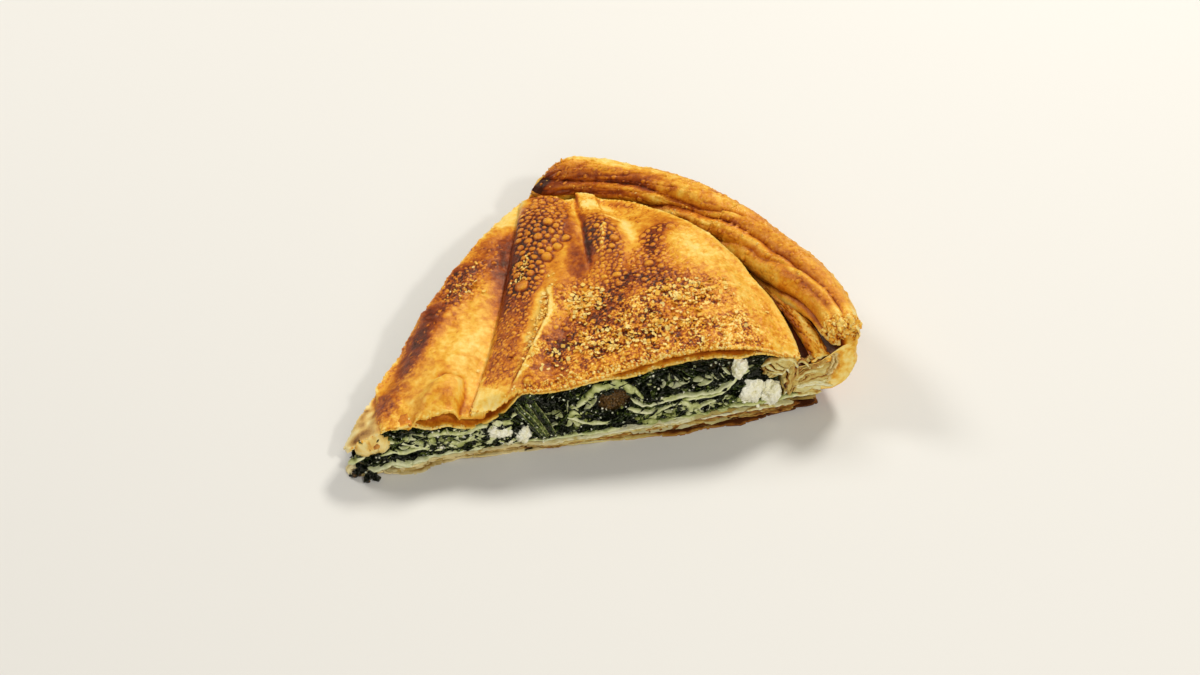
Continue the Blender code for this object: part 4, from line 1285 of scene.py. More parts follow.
# Left panel: the top sheet between the back cut and the pleat. It is smooth and pale in the valley beside the
# pleat, browned along its outer side, and buckled up into a soft dome at the front cut.
def blister_domes(points, blisters, uneven=0.3):
    """Height, dome share and dark ring share at each point, for blisters as (x, y, radius, height)."""
    height = np.zeros(len(points))
    dome = np.zeros(len(points))
    ring = np.zeros(len(points))
    flat = plane_points(points[:, 0], points[:, 1], 1.0)
    warped_x = points[:, 0] + uneven * noise3(flat, 1.9, 90)
    warped_y = points[:, 1] + uneven * noise3(flat, 1.9, 91)
    order = np.argsort(warped_x)
    ordered = warped_x[order]
    for centre_x, centre_y, radius, rise in blisters:
        first, last = np.searchsorted(ordered, (centre_x - radius * 1.5, centre_x + radius * 1.5))
        near = order[first:last]
        near = near[np.abs(warped_y[near] - centre_y) < radius * 1.5]
        away = np.hypot(warped_x[near] - centre_x, warped_y[near] - centre_y) / radius
        bulge = np.sqrt(np.maximum(0, 1 - away**2))
        height[near] = np.maximum(height[near], rise * bulge) - 0.2 * rise * hump(away - 1.14, 0.15)
        dome[near] = np.maximum(dome[near], smooth((1.04 - away) / 0.3))
        ring[near] = np.maximum(ring[near], hump(away - 1.15, 0.2))
    return height, dome, ring


def scatter_blisters(patch, count, smallest, largest, flatness, taken):
    """Blisters drawn inside an elliptical patch, larger first, that don't run into one another."""
    centre_x, centre_y, half_length, half_width, turn = patch
    turn = math.radians(turn)
    spots = np.zeros((len(taken) + count, 4))
    spots[: len(taken)] = np.array(taken).reshape(-1, 4)
    used = len(taken)
    for i in range(count):
        radius = largest - (largest - smallest) * (i / count) ** 0.55
        for _ in range(12):
            angle, away = draw.uniform(0, 2 * math.pi), math.sqrt(draw.uniform(0, 1))
            along, aside = half_length * away * math.cos(angle), half_width * away * math.sin(angle)
            x = centre_x + along * math.cos(turn) - aside * math.sin(turn)
            y = centre_y + along * math.sin(turn) + aside * math.cos(turn)
            room = np.hypot(spots[:used, 0] - x, spots[:used, 1] - y) - 0.95 * (radius + spots[:used, 2])
            if used == 0 or room.min() > 0:
                spots[used] = x, y, radius, radius * flatness
                used += 1
                break
    return [tuple(spot) for spot in spots[len(taken) : used]]


def flake_cells(x, y, size, seed):
    """Breaks a surface into flakes: a number from 0 to 1 for each, and how far from its edge a point is."""
    column, row = np.floor(x / size), np.floor(y / size)
    nearest = np.full(len(x), 9.0)
    second = nearest.copy()
    mark = np.zeros(len(x))
    for i, j in itertools.product((-1, 0, 1), repeat=2):
        cell_x, cell_y = column + i, row + j
        one = (np.sin(cell_x * 127.1 + cell_y * 311.7 + seed) * 43758.5453) % 1
        two = (np.sin(cell_x * 269.5 + cell_y * 183.3 + seed) * 24634.6345) % 1
        away = np.hypot(x / size - cell_x - one, y / size - cell_y - two)
        nearer = away < nearest
        second = np.where(nearer, nearest, np.minimum(second, away))
        mark = np.where(nearer, (one * 7.13 + two * 3.71) % 1, mark)
        nearest = np.minimum(nearest, away)
    return mark, second - nearest


def inside_flap(x, y, corners):
    """How far inside a flap each point is. The corners go round it clockwise, seen from above."""
    nearest = np.full(len(x), 99.0)
    for (from_x, from_y), (to_x, to_y) in zip(corners, corners[1:] + corners[:1]):
        long = math.hypot(to_x - from_x, to_y - from_y)
        side = ((x - from_x) * (to_y - from_y) - (y - from_y) * (to_x - from_x)) / long
        nearest = np.minimum(nearest, side)
    return nearest


def crumble(x, y, seed):
    """Height and browning of crust broken up into small standing flakes with baked pits between them."""
    flat = plane_points(x, y, seed)
    bent_x = x + 0.8 * noise3(flat, 2.6, seed)
    bent_y = y + 0.8 * noise3(flat, 2.6, seed + 1)
    large, large_edge = flake_cells(bent_x * 0.8, bent_y, 1.9, seed)
    small, small_edge = flake_cells(bent_x, bent_y * 0.85, 0.95, seed + 5)
    height = 0.75 * (large - 0.45) + 0.45 * (small - 0.5) - 0.25 * smooth((0.12 - large_edge) / 0.12)
    brown = 0.36 * smooth((0.42 - large) / 0.14) + 0.26 * smooth((0.40 - small) / 0.1) - 0.26
    brown += 0.20 * smooth((0.14 - large_edge) / 0.12) + 0.16 * smooth((0.14 - small_edge) / 0.12)
    return height, brown


# The panel's left end: (y, x) along the torn edge near the tip.
PANEL_END = ((-55, -68.6), (-50.3, -69.4), (-44.5, -69.6), (-39.1, -68.6), (-36, -68))
# Corners of the buckled dome at the front cut.
DOME = (
    (-62, -56), (-57.5, -46.0), (-52.6, -40.6), (-47.6, -39.6), (-42.6, -40.8), (-43.6, -47), (-47.5, -56),
)
# Patches of blisters: middle x and y, half length, half width and turn in degrees; then count, smallest and
# largest radius, and height as a share of the radius.
PANEL_BLISTERS = (
    ((-36, -3, 9, 6, 50), 60, 0.35, 0.9, 0.5),
    ((-30, 6, 12, 6, 50), 40, 0.3, 0.8, 0.5),
    ((-54, -28, 20, 8, 50), 60, 0.25, 0.7, 0.4),
)
PANEL_FLAKY = ((1.0, (-37, -4, 8, 3.5, 50)), (0.4, (-66, -48, 5, 4, 30)), (0.3, (-57, -33, 12, 2.5, 52)))
# Patches baked browner, or paler where the amount is below 0.
PANEL_TONES = (
    (0.24, (-26, 8, 12, 7, 60)),
    (0.22, (-38, -1, 9, 6, 50)),
    (0.20, (-50, -20, 14, 5, 55)),
    (0.38, (-60, -33, 18, 4.0, 52)),
    (0.32, (-46, -12, 14, 4.0, 52)),
    (0.14, (-34, 3, 8, 4, 50)),
    (-0.21, (-16.5, 30, 8, 7, 60)),
    (-0.12, (-37, -27, 16, 4.4, 68)),
    (-0.06, (-41, -40, 6, 4, 70)),
    (0.02, (-50, -47, 6, 5, 0)),
    (0.02, (-60, -46, 6, 5, 0)),
    (0.12, (-67, -45, 3, 6, 0)),
)


def panel_outline(x, y):
    torn = ragged_front(x + y, 43, 0.5, 0.25)
    return (
        front_edge(x, y, through(FRONT_LINE, x) + 0.3 + ragged_front(x, 41, 0.45, 0.28)),
        back_edge(x, y, 1.6 + torn + 0.5 * hump(x + 38, 10) - 1.4 * smooth((y - 30) / 8)),
        rim_edge(x, y, TOP_REACH, 0.4 * torn),
        ((pleat_left(y) + 5.0 - x) * 0.94, 0.94 + 0 * x, -0.34 + 0 * x),
        ((x - through(PANEL_END, y)) + 1.2 * torn, -1.0 + 0 * x, 0 * x),
    )


panel, points, upper, inside = cut_sheet("left_top_panel", 0.42, (-80, -57), (0, 40), panel_outline)
x, y = points[:, 0], points[:, 1]
offset = x - pleat_left(y)
blisters = []
for patch, count, smallest, largest, flatness in PANEL_BLISTERS:
    blisters += scatter_blisters(patch, count, smallest, largest, flatness, blisters)
height, dome, ring = blister_domes(points, blisters)
crinkle = 0.45 * ruffle(plane_points(x, y, 11), 7, 3, 45)
flaky = clamp(patches(PANEL_FLAKY, x, y))
crumble_height, crumble_brown = crumble(x, y, 46)
flap_in = inside_flap(x + 0.5 * noise3(plane_points(x, y, 2), 4, 44), y, DOME)
flap_right = smooth((x + 54) / 7)
dome_fold = (
    1.5 * smooth((flap_in + 0.2) / (4.2 - 2.6 * flap_right)) - 0.6 * hump(flap_in + 0.5, 0.6) * flap_right
)
dome_fold -= 0.9 * smooth((flap_in - 3) / 5) * smooth((-44 - y) / 5)
dip = 1.4 * hump(x + 61, 2.4) * hump(inside_front(y), 6)
ridges = (
    0.5 * hump(x + 0.55 * y + 88, 1.5) * smooth((-34 - y) / 6)
    + 0.6 * hump(x + 44 - 0.62 * (y + 16), 2.2) * smooth((y + 34) / 10)
)
middle = top_height(x, y) + crinkle + dome_fold - dip + ridges * (y < 4)
lift = np.where(upper, height + 0.7 * flaky * crumble_height, 0)
points[:, 2] = middle + lift - np.where(upper, 0.15 * hump(inside, 0.45), 0.95)
set_points(panel, points)
brown = 0.31 + 0.17 * ruffle(plane_points(x, y, 15), 9, 4, 47)
brown += patches(PANEL_TONES, x, y)
# Darker in the valley along the pleat's left edge: painted shadow of the pleat, partly browning.
brown += 0.40 * hump(offset + 1.0, 4.0) * smooth((y + 20) / 12) * smooth((24 - y) / 10)
# Along the dome's back edge, a dark line and a paler band just inside it: painted shadow behind the edge and
# painted light on its flank.
brown += (0.22 * hump(flap_in + 0.4, 0.5) - 0.12 * hump(flap_in - 1.2, 1.0)) * flap_right
brown += (
    0.13 * noise3(plane_points(x, y, 4), 2.2, 49) + 0.10 * noise3(plane_points(x, y, 4), 1.0, 50)
    + 0.7 * flaky * crumble_brown + 0.17 * ring
)
brown += dome * 0.8 * np.minimum(0, 0.38 - brown)
brown -= 0.22 * hump(inside, 0.8) * (offset < 0) * (0.6 + noise3(plane_points(x, y, 3), 3, 48))
brown = np.where(upper, np.maximum(brown, 0.08), 0.3)
paint(panel, "browning", brown)
paint(panel, "crumbs", np.where(upper, clamp(0.9 * flaky + 0.25 * hump(inside, 2)), 0))
settle(panel, top_finish, ["top_filo"])

# Main top sheet: from the pleat to the rim. Its left side is folded over into the pleat, which bakes darkest
# and blisters all over; towards the front cut the surface breaks up into a crumbly crust of small flakes.
# The pleat's height over its width, from its left edge to its right one.
FOLD_SHAPE = (
    (-0.05, 0.30), (0.0, 0.52), (0.05, 0.78), (0.13, 0.95), (0.28, 1.0), (0.45, 0.86), (0.7, 0.42),
    (0.9, 0.08), (1.0, 0.0),
)
# (y, x) lines: the left edge of the large lifted flake, and the step to the right of the pleat.
FLAKE_LINE = (
    (-49, -29.5), (-46.5, -27.4), (-38.4, -22.2), (-31.8, -17.9), (-26.4, -14.6), (-19.9, -12.9),
    (-14, -12.4),
)
PLEAT_SIDE_LINE = ((-10, 1.4), (-4, 2.4), (4.4, 3.2), (14.2, 4.4), (25.7, 4.8), (36, 6.6))
# Each large blister: middle x and y, and radius.
BIG_BLISTERS = (
    (-19.1, -10.1, 2.4), (-9.3, 0.1, 1.8), (-8.5, -15.4, 1.35), (-5.7, 15.4, 2.0), (-5.3, 3.8, 1.6),
    (-10.1, 9.5, 1.6), (-19.5, -4.4, 1.4), (-13.3, 9.1, 1.4), (-18.0, 0.3, 1.35), (-15.5, -5.6, 1.45),
    (-7.8, 27.4, 1.6), (-1.8, 7.0, 1.4), (-10.5, 2.5, 1.2), (-3.4, 22.4, 1.4), (-10.8, 21.0, 1.3),
    (8.1, 8.9, 1.2), (10.4, 12.4, 1.3), (5.7, 6.9, 0.9), (12.4, 6.0, 1.3), (12.0, 1.3, 1.7),
    (10.5, -2.1, 1.2), (9.1, -15.4, 1.5), (8.8, -19.4, 1.3), (19.5, -13.0, 1.6), (22.6, -15.6, 1.2),
    (30.5, 4.0, 1.5), (-25.2, -50.4, 1.5),
)
# Smaller blisters in patches, given as for the panel.
SHEET_BLISTERS = (
    ((-8.0, 16, 20, 7.0, 70), 260, 0.45, 1.35, 0.58),
    ((-17, -6, 10, 5, 70), 110, 0.4, 1.0, 0.55),
    ((9.5, 4, 15, 4.5, 92), 110, 0.4, 1.0, 0.55),
    ((7, -14, 8, 5, 90), 60, 0.4, 1.1, 0.55),
    ((-27, -28, 22, 5, 65), 130, 0.35, 0.8, 0.5),
    ((22, -14, 12, 8, 100), 110, 0.4, 1.1, 0.45),
    ((6, -26, 22, 14, 0), 230, 0.4, 1.0, 0.5),
    ((38, -38, 16, 13, -20), 240, 0.35, 1.0, 0.42),
    ((20, -46, 36, 6, 0), 150, 0.35, 0.8, 0.42),
    ((36, -10, 20, 12, -50), 120, 0.4, 1.3, 0.22),
    ((14, 22, 18, 8, -30), 60, 0.4, 1.0, 0.25),
)
# Patches where the crust is broken up into crumbs.
SHEET_CRUMBLY = (
    (1.25, (6, -42, 30, 8, 0)),
    (1.0, (-3, -23, 7, 7, 0)),
    (1.0, (28, -30, 10, 7, 0)),
    (0.8, (14, -28, 14, 9, 0)),
    (0.6, (38, -46, 14, 5, 0)),
    (0.5, (-18, -2, 3, 6, 70)),
)
# Patches baked browner, or paler where the amount is below 0.
SHEET_TONES = (
    (0.42, (-9.5, 14, 19, 6.0, 70)),
    (0.38, (-18, -6, 12, 4.6, 70)),
    (0.08, (-2.6, 4, 9, 2.8, 76)),
    (0.30, (5.0, 5, 9, 1.9, 84)),
    (0.20, (21.5, -4, 7, 2.6, 82)),
    (0.16, (-29, -30, 20, 5, 66)),
    (0.20, (-31.5, -30, 20, 1.8, 66)),
    (0.22, (-22.5, -26, 16, 1.6, 66)),
    (0.20, (-0.5, 14, 14, 2.4, 80)),
    (-0.20, (-4, 36.5, 12, 2.4, 0)),
    (0.30, (0, -6, 10, 3.4, 78)),
    (-0.14, (-3.2, 2, 8, 1.4, 76)),
    (0.40, (9, 5, 12, 4.2, 92)),
    (-0.20, (11, 26, 8, 3.4, -20)),
    (-0.26, (18.0, 8, 10, 2.0, 92)),
    (0.08, (19, 25.5, 5, 1.6, -30)),
    (0.24, (24.5, -2, 12, 3.2, 70)),
    (0.16, (28, 4, 5, 3, 40)),
    (-0.17, (37, -9, 15, 6, -52)),
    (0.36, (22, -21, 9, 5, -10)),
    (0.16, (20, 26, 9, 3, -30)),
    (0.30, (12, -17, 9, 5, 60)),
    (0.38, (0.5, -31, 10, 3.2, 62)),
    (0.34, (-13, -40, 10, 3.4, 64)),
    (0.14, (6, -42, 24, 9, 0)),
    (-0.26, (-36.5, -50, 6, 4.5, 60)),
    (-0.10, (-4, -24, 5, 4, 0)),
    (-0.14, (48, -34, 12, 6, -60)),
    (-0.08, (40, -48, 14, 4, 0)),
)
# The pleat's rise over the sheet that it lies on, and the height that the top stays under.
FOLD_RISE = 2.9
HIGHEST = 32.2


def notch_edge(x, y):
    """The back edge just left of the tab, which stands further in than the rest of it."""
    line = 31.4 + 4.4 * smooth((3.5 - x) / 5) + 3.4 * smooth((2.5 - x) / 10) + 3.2 * smooth((x - 6.2) / 0.7)
    return line - y + 9 * smooth((x - 14) / 3)


def fold_height(x, y):
    """Height of the pleat over the sheet that it lies on."""
    across = (x - pleat_left(y)) / np.maximum(pleat_right(y) - pleat_left(y), 1)
    return FOLD_RISE * through(FOLD_SHAPE, across)


def main_outline(x, y):
    return (
        front_edge(x, y, through(FRONT_LINE, x) + 0.6 + ragged_front(x, 51, 0.35, 0.5)),
        rim_edge(x, y, TOP_REACH, 0.25 * ragged_front(x - y, 53)),
        (
            (x - pleat_left(y)) * 0.94 + 0.35 * noise3(plane_points(y, 0 * y, 7), 6, 55), -0.94 + 0 * x,
            0.34 + 0 * x,
        ),
        back_edge(x, y, 1.6 + ragged_front(x + y, 57)),
        ((39.6 - y) + 0.5 * noise3(plane_points(x, 0 * x, 9), 4, 56), 0 * x, 1.0 + 0 * x),
        (notch_edge(x, y), 0.25 + 0 * x, 0.97 + 0 * x),
    )


main, points, upper, inside = cut_sheet("main_top_sheet", 0.385, (-46, -57), (60, 40), main_outline)
x, y = points[:, 0], points[:, 1]
offset = x - pleat_left(y)
front = inside_front(y)
back_end = smooth((83.8 - 0.24 * np.maximum(x + 2, 0) - pan_reach(x, y)) / 2.6)
fold_lift = fold_height(x, y) * back_end
blisters = [(bx, by, radius, radius * 0.55) for bx, by, radius in BIG_BLISTERS]
for patch, count, smallest, largest, flatness in SHEET_BLISTERS:
    blisters += scatter_blisters(patch, count, smallest, largest, flatness, blisters)
height, dome, ring = blister_domes(points, blisters)
flat = plane_points(x, y, 17)
crinkle = 0.34 * ruffle(flat, 8, 3, 61)
long_wrinkle = (
    0.25 * noise3(flat * (1.0, 0.28, 1) + (0, 0, 5), 2.6, 62) * ellipse(x, y, (-22, -25, 30, 9, 68))
)
crumbly = clamp(clamp(patches(SHEET_CRUMBLY, x, y)) * (0.72 + 1.1 * noise3(flat, 6.5, 75)))
crumble_height, crumble_brown = crumble(x, y, 64)
flake_side = x - through(FLAKE_LINE, y)
flake_on = smooth((y + 50) / 3) * smooth((-12 - y) / 4)
flake_step = 0.95 * smooth((flake_side + 0.35) / 0.5) * np.exp(-np.maximum(flake_side, 0) / 5.5) * flake_on
side = x - through(PLEAT_SIDE_LINE, y)
side_on = smooth((y + 12) / 8)
side_step = 0.9 * smooth((0.25 - side) / 0.5) * np.exp(-np.maximum(-side, 0) / 5) * side_on
tab = smooth((x - 6.4) / 0.5) * smooth((13.2 - x) / 0.6) * smooth((y - 20) / 8)
long_flake = (
    hump((x - through(((-4, 6.6), (4, 8.9), (10, 10.8)), y)), 0.7) * smooth((y + 4) / 3)
    * smooth((10.5 - y) / 3)
)
arc_flake = hump(np.hypot(x - 12.6, y - 11.5) - 5.2, 0.45) * smooth((x - 10.0) / 3) * smooth((y - 9.5) / 3)
relief = crinkle + long_wrinkle + fold_lift + flake_step + side_step + 0.8 * tab
middle = top_height(x, y) + relief
fine_skin = 0.06 * noise3(flat, 0.9, 66)
droop = 2.4 * hump(x + 37, 4.6) * smooth((3.2 - front) / 3.6) + 0.5 * hump(front, 1.0) * (x > -30)
edge_lift = 1.2 * smooth((pan_reach(x, y) - 69) / 6) * smooth((54 - pan_angle(x, y)) / 12)
lift = (
    height * (1 - 0.4 * crumbly) + crumbly * crumble_height + 0.6 * long_flake + 0.5 * arc_flake + fine_skin
    + edge_lift
)
lip_teeth = 0.40 * noise3(flat, 0.9, 73) * hump(front, 0.9) * (x > -30)
lift = lift - droop + lip_teeth
floor_level = np.minimum(middle - 0.95, top_height(x, y) - 0.35) - 0.8 * droop
under = np.where(offset < 4, floor_level, middle - 0.95 - 0.8 * droop)
points[:, 2] = np.minimum(np.where(upper, middle + lift - 0.16 * hump(inside, 0.45), under), HIGHEST)
set_points(main, points)
note_edge(points, upper, inside)
brown = 0.34 + 0.08 * ruffle(flat, 10, 3, 67)
brown += patches(SHEET_TONES, x, y)
# Darker on the pleat's upper left flank: painted shade, partly browning.
brown += 0.20 * hump(offset - 1.2, 2.2) * smooth((y + 22) / 10) * smooth((33 - y) / 4)
brown -= 0.26 * hump(offset - 0.4, 1.3) * smooth((-18 - y) / 8)
brown += 0.10 * ruffle(flat, 3.2, 2, 70) * (1 - crumbly) + 0.09 * noise3(flat, 1.2, 71)
brown += crumbly * (1.15 * crumble_brown + 0.14 * noise3(flat, 0.8, 68))
# The sheet's browning is spread a little further to both sides of its middle tone.
brown = 0.36 + 1.16 * (brown - 0.335)
brown = np.where(crumbly > 0.3, np.minimum(brown, 0.84), brown)
amber = 0.37 + 0.12 * noise3(flat, 3, 69)
brown += 0.24 * ring * (1 - 0.6 * smooth((x - 24) / 6))
brown += dome * 0.85 * np.minimum(0, amber - brown)
flake_wide = np.maximum(0.4, 1.0 + 1.5 * noise3(plane_points(x, y, 3), 2.6, 72))
brown -= (
    0.40 * hump(flake_side - 0.7, flake_wide) * flake_on
    + 0.16 * hump(flake_side + 2.4, 2.6) * flake_on * (y > -34)
)
# A dark line at the foot of the flake's raised edge, and beside the pleat's step a dark line below it and a
# paler band on its higher side: painted shadow and light.
brown += 0.34 * hump(flake_side + 0.3, 0.45) * flake_on
brown += 0.22 * hump(side - 0.9, 0.8) * side_on - 0.12 * hump(side + 0.6, 0.8) * side_on
tab_edge = hump(x - 6.6, 0.45) + hump(x - 12.9, 0.45)
brown += (0.16 * tab_edge - 0.12 * tab) * smooth((y - 22) / 4) - 0.45 * long_flake - 0.4 * arc_flake
brown -= (0.20 + 0.34 * noise3(flat, 0.8, 74)) * hump(inside, 1.1) * (front < 3)
brown -= 0.22 * hump(inside, 1.6) * (pan_reach(x, y) > 70)
brown = np.where(upper, np.maximum(brown, 0.07), 0.45)
paint(main, "browning", brown)
paint(
    main, "crumbs",
    np.where(upper, clamp(1.2 * crumbly + 0.8 * hump(front, 2.5) * (x < 44) * (x > -28)), 0),
)
settle(main, top_finish, ["top_filo"])

# Loose flakes: shards of the outermost sheet that lifted and broke in the oven and still cling to the top.
# One shard is modelled, and each copy is bent, turned and tipped where it lies.
pattern = new_grid("filo_flake", 3, 2)
pattern_points, pattern_upper = add_second_face(pattern)
# Where the flakes lie: a patch, how many and the longest.
FLAKE_PATCHES = (
    ((6, -42, 32, 8, 0), 300, 1.8),
    ((-3, -24, 7, 7, 0), 110, 1.8),
    ((28, -29, 11, 6, 0), 110, 1.9),
    ((-17.5, -3, 7, 2.2, 70), 50, 1.1),
    ((-36, -4, 9, 5, 50), 40, 1.5),
    ((-14, -22, 12, 2, 65), 40, 1.6),
    ((-19, -31, 22, 1.6, 66), 60, 1.5),
    ((8, -52.2, 46, 1.2, 0), 150, 0.9),
)


def surface_height(x, y):
    """Height of the dressed top, near enough to lay a flake on it."""
    lift = np.where(x > pleat_left(y), fold_height(x, y), 0)
    return top_height(x, y) + lift + 0.34 * ruffle(plane_points(x, y, 17), 8, 3, 61)


flakes = []
for patch, count, longest in FLAKE_PATCHES:
    centre_x, centre_y, half_length, half_width, turn = patch
    turn = math.radians(turn)
    for i in range(count):
        along, aside = draw.normal(0, half_length * 0.5), draw.normal(0, half_width * 0.5)
        place_x = centre_x + along * math.cos(turn) - aside * math.sin(turn)
        place_y = centre_y + along * math.sin(turn) + aside * math.cos(turn)
        past_cut = inside_front(place_y) < 0.1 or inside_back(place_x, place_y) < 0.5
        if past_cut or pan_reach(place_x, place_y) > 72:
            continue
        length, width = longest * draw.uniform(0.3, 0.85), longest * draw.uniform(0.25, 0.75)
        share, wide = pattern_points[:, 0] - 0.5, pattern_points[:, 1] - 0.5
        local = np.stack([
            share * length,
            wide * width * (1 - 1.2 * share**2),
            draw.uniform(-0.5, 0.6) * (share * 2) ** 2 * 0.5 + 0.14 * pattern_upper,
        ], 1)
        tilt = Matrix.Rotation(draw.uniform(0, 6.3), 3, "Z") @ Matrix.Rotation(draw.normal(0, 0.45), 3, "Y")
        tilt = tilt @ Matrix.Rotation(draw.normal(0, 0.4), 3, "X")
        turned = local @ np.array(tilt).T
        height = at_place(surface_height, place_x, place_y) + 0.22 + draw.uniform(0, 0.25)
        placed = turned + (place_x, place_y, height)
        placed[:, 2] -= max(0.0, placed[:, 2].max() - HIGHEST - 0.05)
        flake = copy_piece(pattern, f"flake_{len(flakes)}", placed)
        paint(flake, "browning", np.full(len(turned), 0.03 + 0.42 * draw.uniform(0, 1) ** 2))
        flakes.append(flake)
# Crumbs of the broken crust along the front edges of both top sheets.
for places in crumbled_edges:
    for index in draw.choice(len(places), min(230, len(places)), replace=False):
        radii = draw.uniform(0.14, 0.42) * draw.uniform(0.6, 1.3, 3)
        crumb = torn_lump(f"crust_crumb_{len(flakes)}", tuple(places[index]), radii, 900 + len(flakes), 2)
        paint(crumb, "browning", np.full(len(crumb.data.vertices), 0.02 + 0.5 * draw.uniform(0, 1) ** 2))
        flakes.append(crumb)
flake_piece = join_pieces(flakes, "loose_flakes")
settle(flake_piece, top_finish, None)
bpy.data.objects.remove(pattern)

# Rim wall: the edges of all the sheets, brought up round the filling and folded in on themselves.
# Outside it is smooth and golden with long creases, and at both cuts its layers show one inside another.
# Outline of the wall's cross-section: (reach from the pan's middle, height).
RIM_SECTION = (
    (70, 8.6), (70, 14.6), (73, 16.8), (81.5, 17.6), (86, 21), (90.5, 24), (93.8, 21.5), (94.9, 14.5),
    (92.6, 10.2), (89.2, 6.5), (86, 5.2), (77, 6.2),
)
RIM_BULGE = ((-6, 0), (40, 0.2), (50, 1.6), (62, 4), (72, 5.6), (84, 4))
ROLL_MIDDLE = (81.0, 16.0)
LAYERS_IN_WALL = 9.0
LOOP_POINTS = 240
RIM_LENGTH = 138


def rim_grid(name, columns, around, end_rings):
    """A grid for a piece along the rim, with how far along, around and into an end each point is."""
    rings = columns + 2 * end_rings
    piece = new_grid(name, rings, around)
    points = get_points(piece)
    ring = points[:, 0] * rings
    along = clamp((ring - end_rings) / columns)
    closing = clamp(1 - np.minimum(ring, rings - ring) / end_rings)
    return piece, along, points[:, 1].copy(), closing


def on_rim(reach, height, along):
    """Points of a piece along the rim, where along is 0 on the front cut and 1 on the back cut."""
    front, back = cut_angles(reach)
    angle = front + (back - front) * along
    return np.stack([PAN_CENTRE[0] + np.cos(angle) * reach, PAN_CENTRE[1] + np.sin(angle) * reach, height], 1)


def push_in(points, along, amount):
    """Moves points of the two ends in from their cuts."""
    front = along < 0.5
    points[:, 0] -= np.where(front, 0, BACK_OUT[0] * amount)
    points[:, 1] += np.where(front, amount, -BACK_OUT[1] * amount)
    return points


FRONT_DEGREES, BACK_DEGREES = (float(np.degrees(angle)) for angle in cut_angles(90.0))


def rim_degrees(along):
    return FRONT_DEGREES + (BACK_DEGREES - FRONT_DEGREES) * along


wall, along, around, closing = rim_grid("folded_wall", 260, 120, 26)
closed = np.array(RIM_SECTION + RIM_SECTION[:1], float)
steps = np.concatenate([[0], np.cumsum(np.hypot(*np.diff(closed, axis=0).T))])
even = np.linspace(0, steps[-1], LOOP_POINTS + 1)[:-1]


def round_loop(corners):
    """One coordinate of the closed section, rounded off, at each point's place around the loop."""
    loop = np.interp(even, steps, corners)
    for _ in range(10):
        loop = (np.roll(loop, 1) + loop * 2 + np.roll(loop, -1)) / 4
    return np.interp(
        (around * LOOP_POINTS) % LOOP_POINTS, np.arange(LOOP_POINTS + 1), np.append(loop, loop[0]),
    )


reach, height = round_loop(closed[:, 0]), round_loop(closed[:, 1])
degrees = rim_degrees(along)
outer = smooth((reach - 72) / 20)
reach = (
    reach + outer * through(RIM_BULGE, degrees) + outer * 0.7 * np.sin(9 * np.radians(degrees) + height / 3)
)
on_wall = np.stack([degrees * 1.5, reach * 0.4, height], 1)
bent = on_wall * (0.10, 1, 1) + 0.5 * noise3(on_wall, 9, 71)[:, None]
crease = 1 - np.abs(noise3(bent, 2.4, 72))
swell = 0.6 * ruffle(on_wall * (0.35, 1, 1), 6, 2, 74)
outside = smooth((reach - 84) / 6)
reach = reach + outside * (swell - 0.3 - 0.5 * smooth((crease - 0.8) / 0.2) + 0.10 * noise3(on_wall, 1.0, 75))
from_cut = np.minimum(along, 1 - along) * RIM_LENGTH
narrowed = (1 - closing) * (1 - 0.09 * clamp(1 - from_cut / 2.4) ** 2)
reach = ROLL_MIDDLE[0] + (reach - ROLL_MIDDLE[0]) * narrowed
height = ROLL_MIDDLE[1] + (height - ROLL_MIDDLE[1]) * narrowed
face = plane_points(reach, height)
lay = (1 - closing) * LAYERS_IN_WALL + 1.8 * noise3(face, 7, 76) + 0.6 * noise3(face, 2.2, 77)
skin = smooth((0.26 + 0.20 * smooth((reach - 80) / 6) * smooth((height - 8) / 4) - closing) / 0.06)
lip = smooth((lay % 1) / 0.35) * smooth((1 - lay % 1) / 0.3)
on_end = smooth(closing * 26)
stand = 0.35 * noise3(plane_points(np.floor(lay) * 3.7, around * 14), 1.6, 78)
points = on_rim(reach, height, along)
points = push_in(
    points, along, on_end * (1 - skin) * (0.5 + 1.3 * (1 - lip) + 1.5 * stand) * smooth((1 - closing) * 6),
)
set_points(wall, points)
# The wall's inner top, in the groove under the rope, is painted dark: browning and painted shade.
baked_and_shaded_top = smooth((90 - reach) / 3) * smooth((height - 13.5) / 3)
brown = (
    0.20 + 0.13 * ruffle(on_wall, 9, 3, 78) + 0.26 * smooth((9.5 - height) / 4)
    + 0.10 * smooth((height - 18) / 5)
)
# Darker in the creases outside: painted shade.
brown += 0.14 * smooth((crease - 0.86) / 0.14) * outside + 0.80 * baked_and_shaded_top
# At the cut ends the gaps between the layers are painted dark: painted shade between the sheets.
cut_brown = 0.12 + 0.62 * (1 - lip) + 0.30 * noise3(face, 3.5, 79) + 0.14 * noise3(face, 0.8, 80)
brown -= 0.14 * smooth((5 - from_cut) / 5)
streaks = (
    0.22 * noise3(plane_points(closing * 16, around * 40), 1.6, 83) + 0.20 * smooth((closing - 0.24) / 0.1)
)
cut_brown = cut_brown * (1 - skin) + (0.10 + streaks) * skin
paint(wall, "browning", np.where(on_end > 0, cut_brown, brown))
paint(wall, "soaked", on_end * (1 - skin))
weld(wall)
settle(wall, top_finish, ["rolled_rim"])

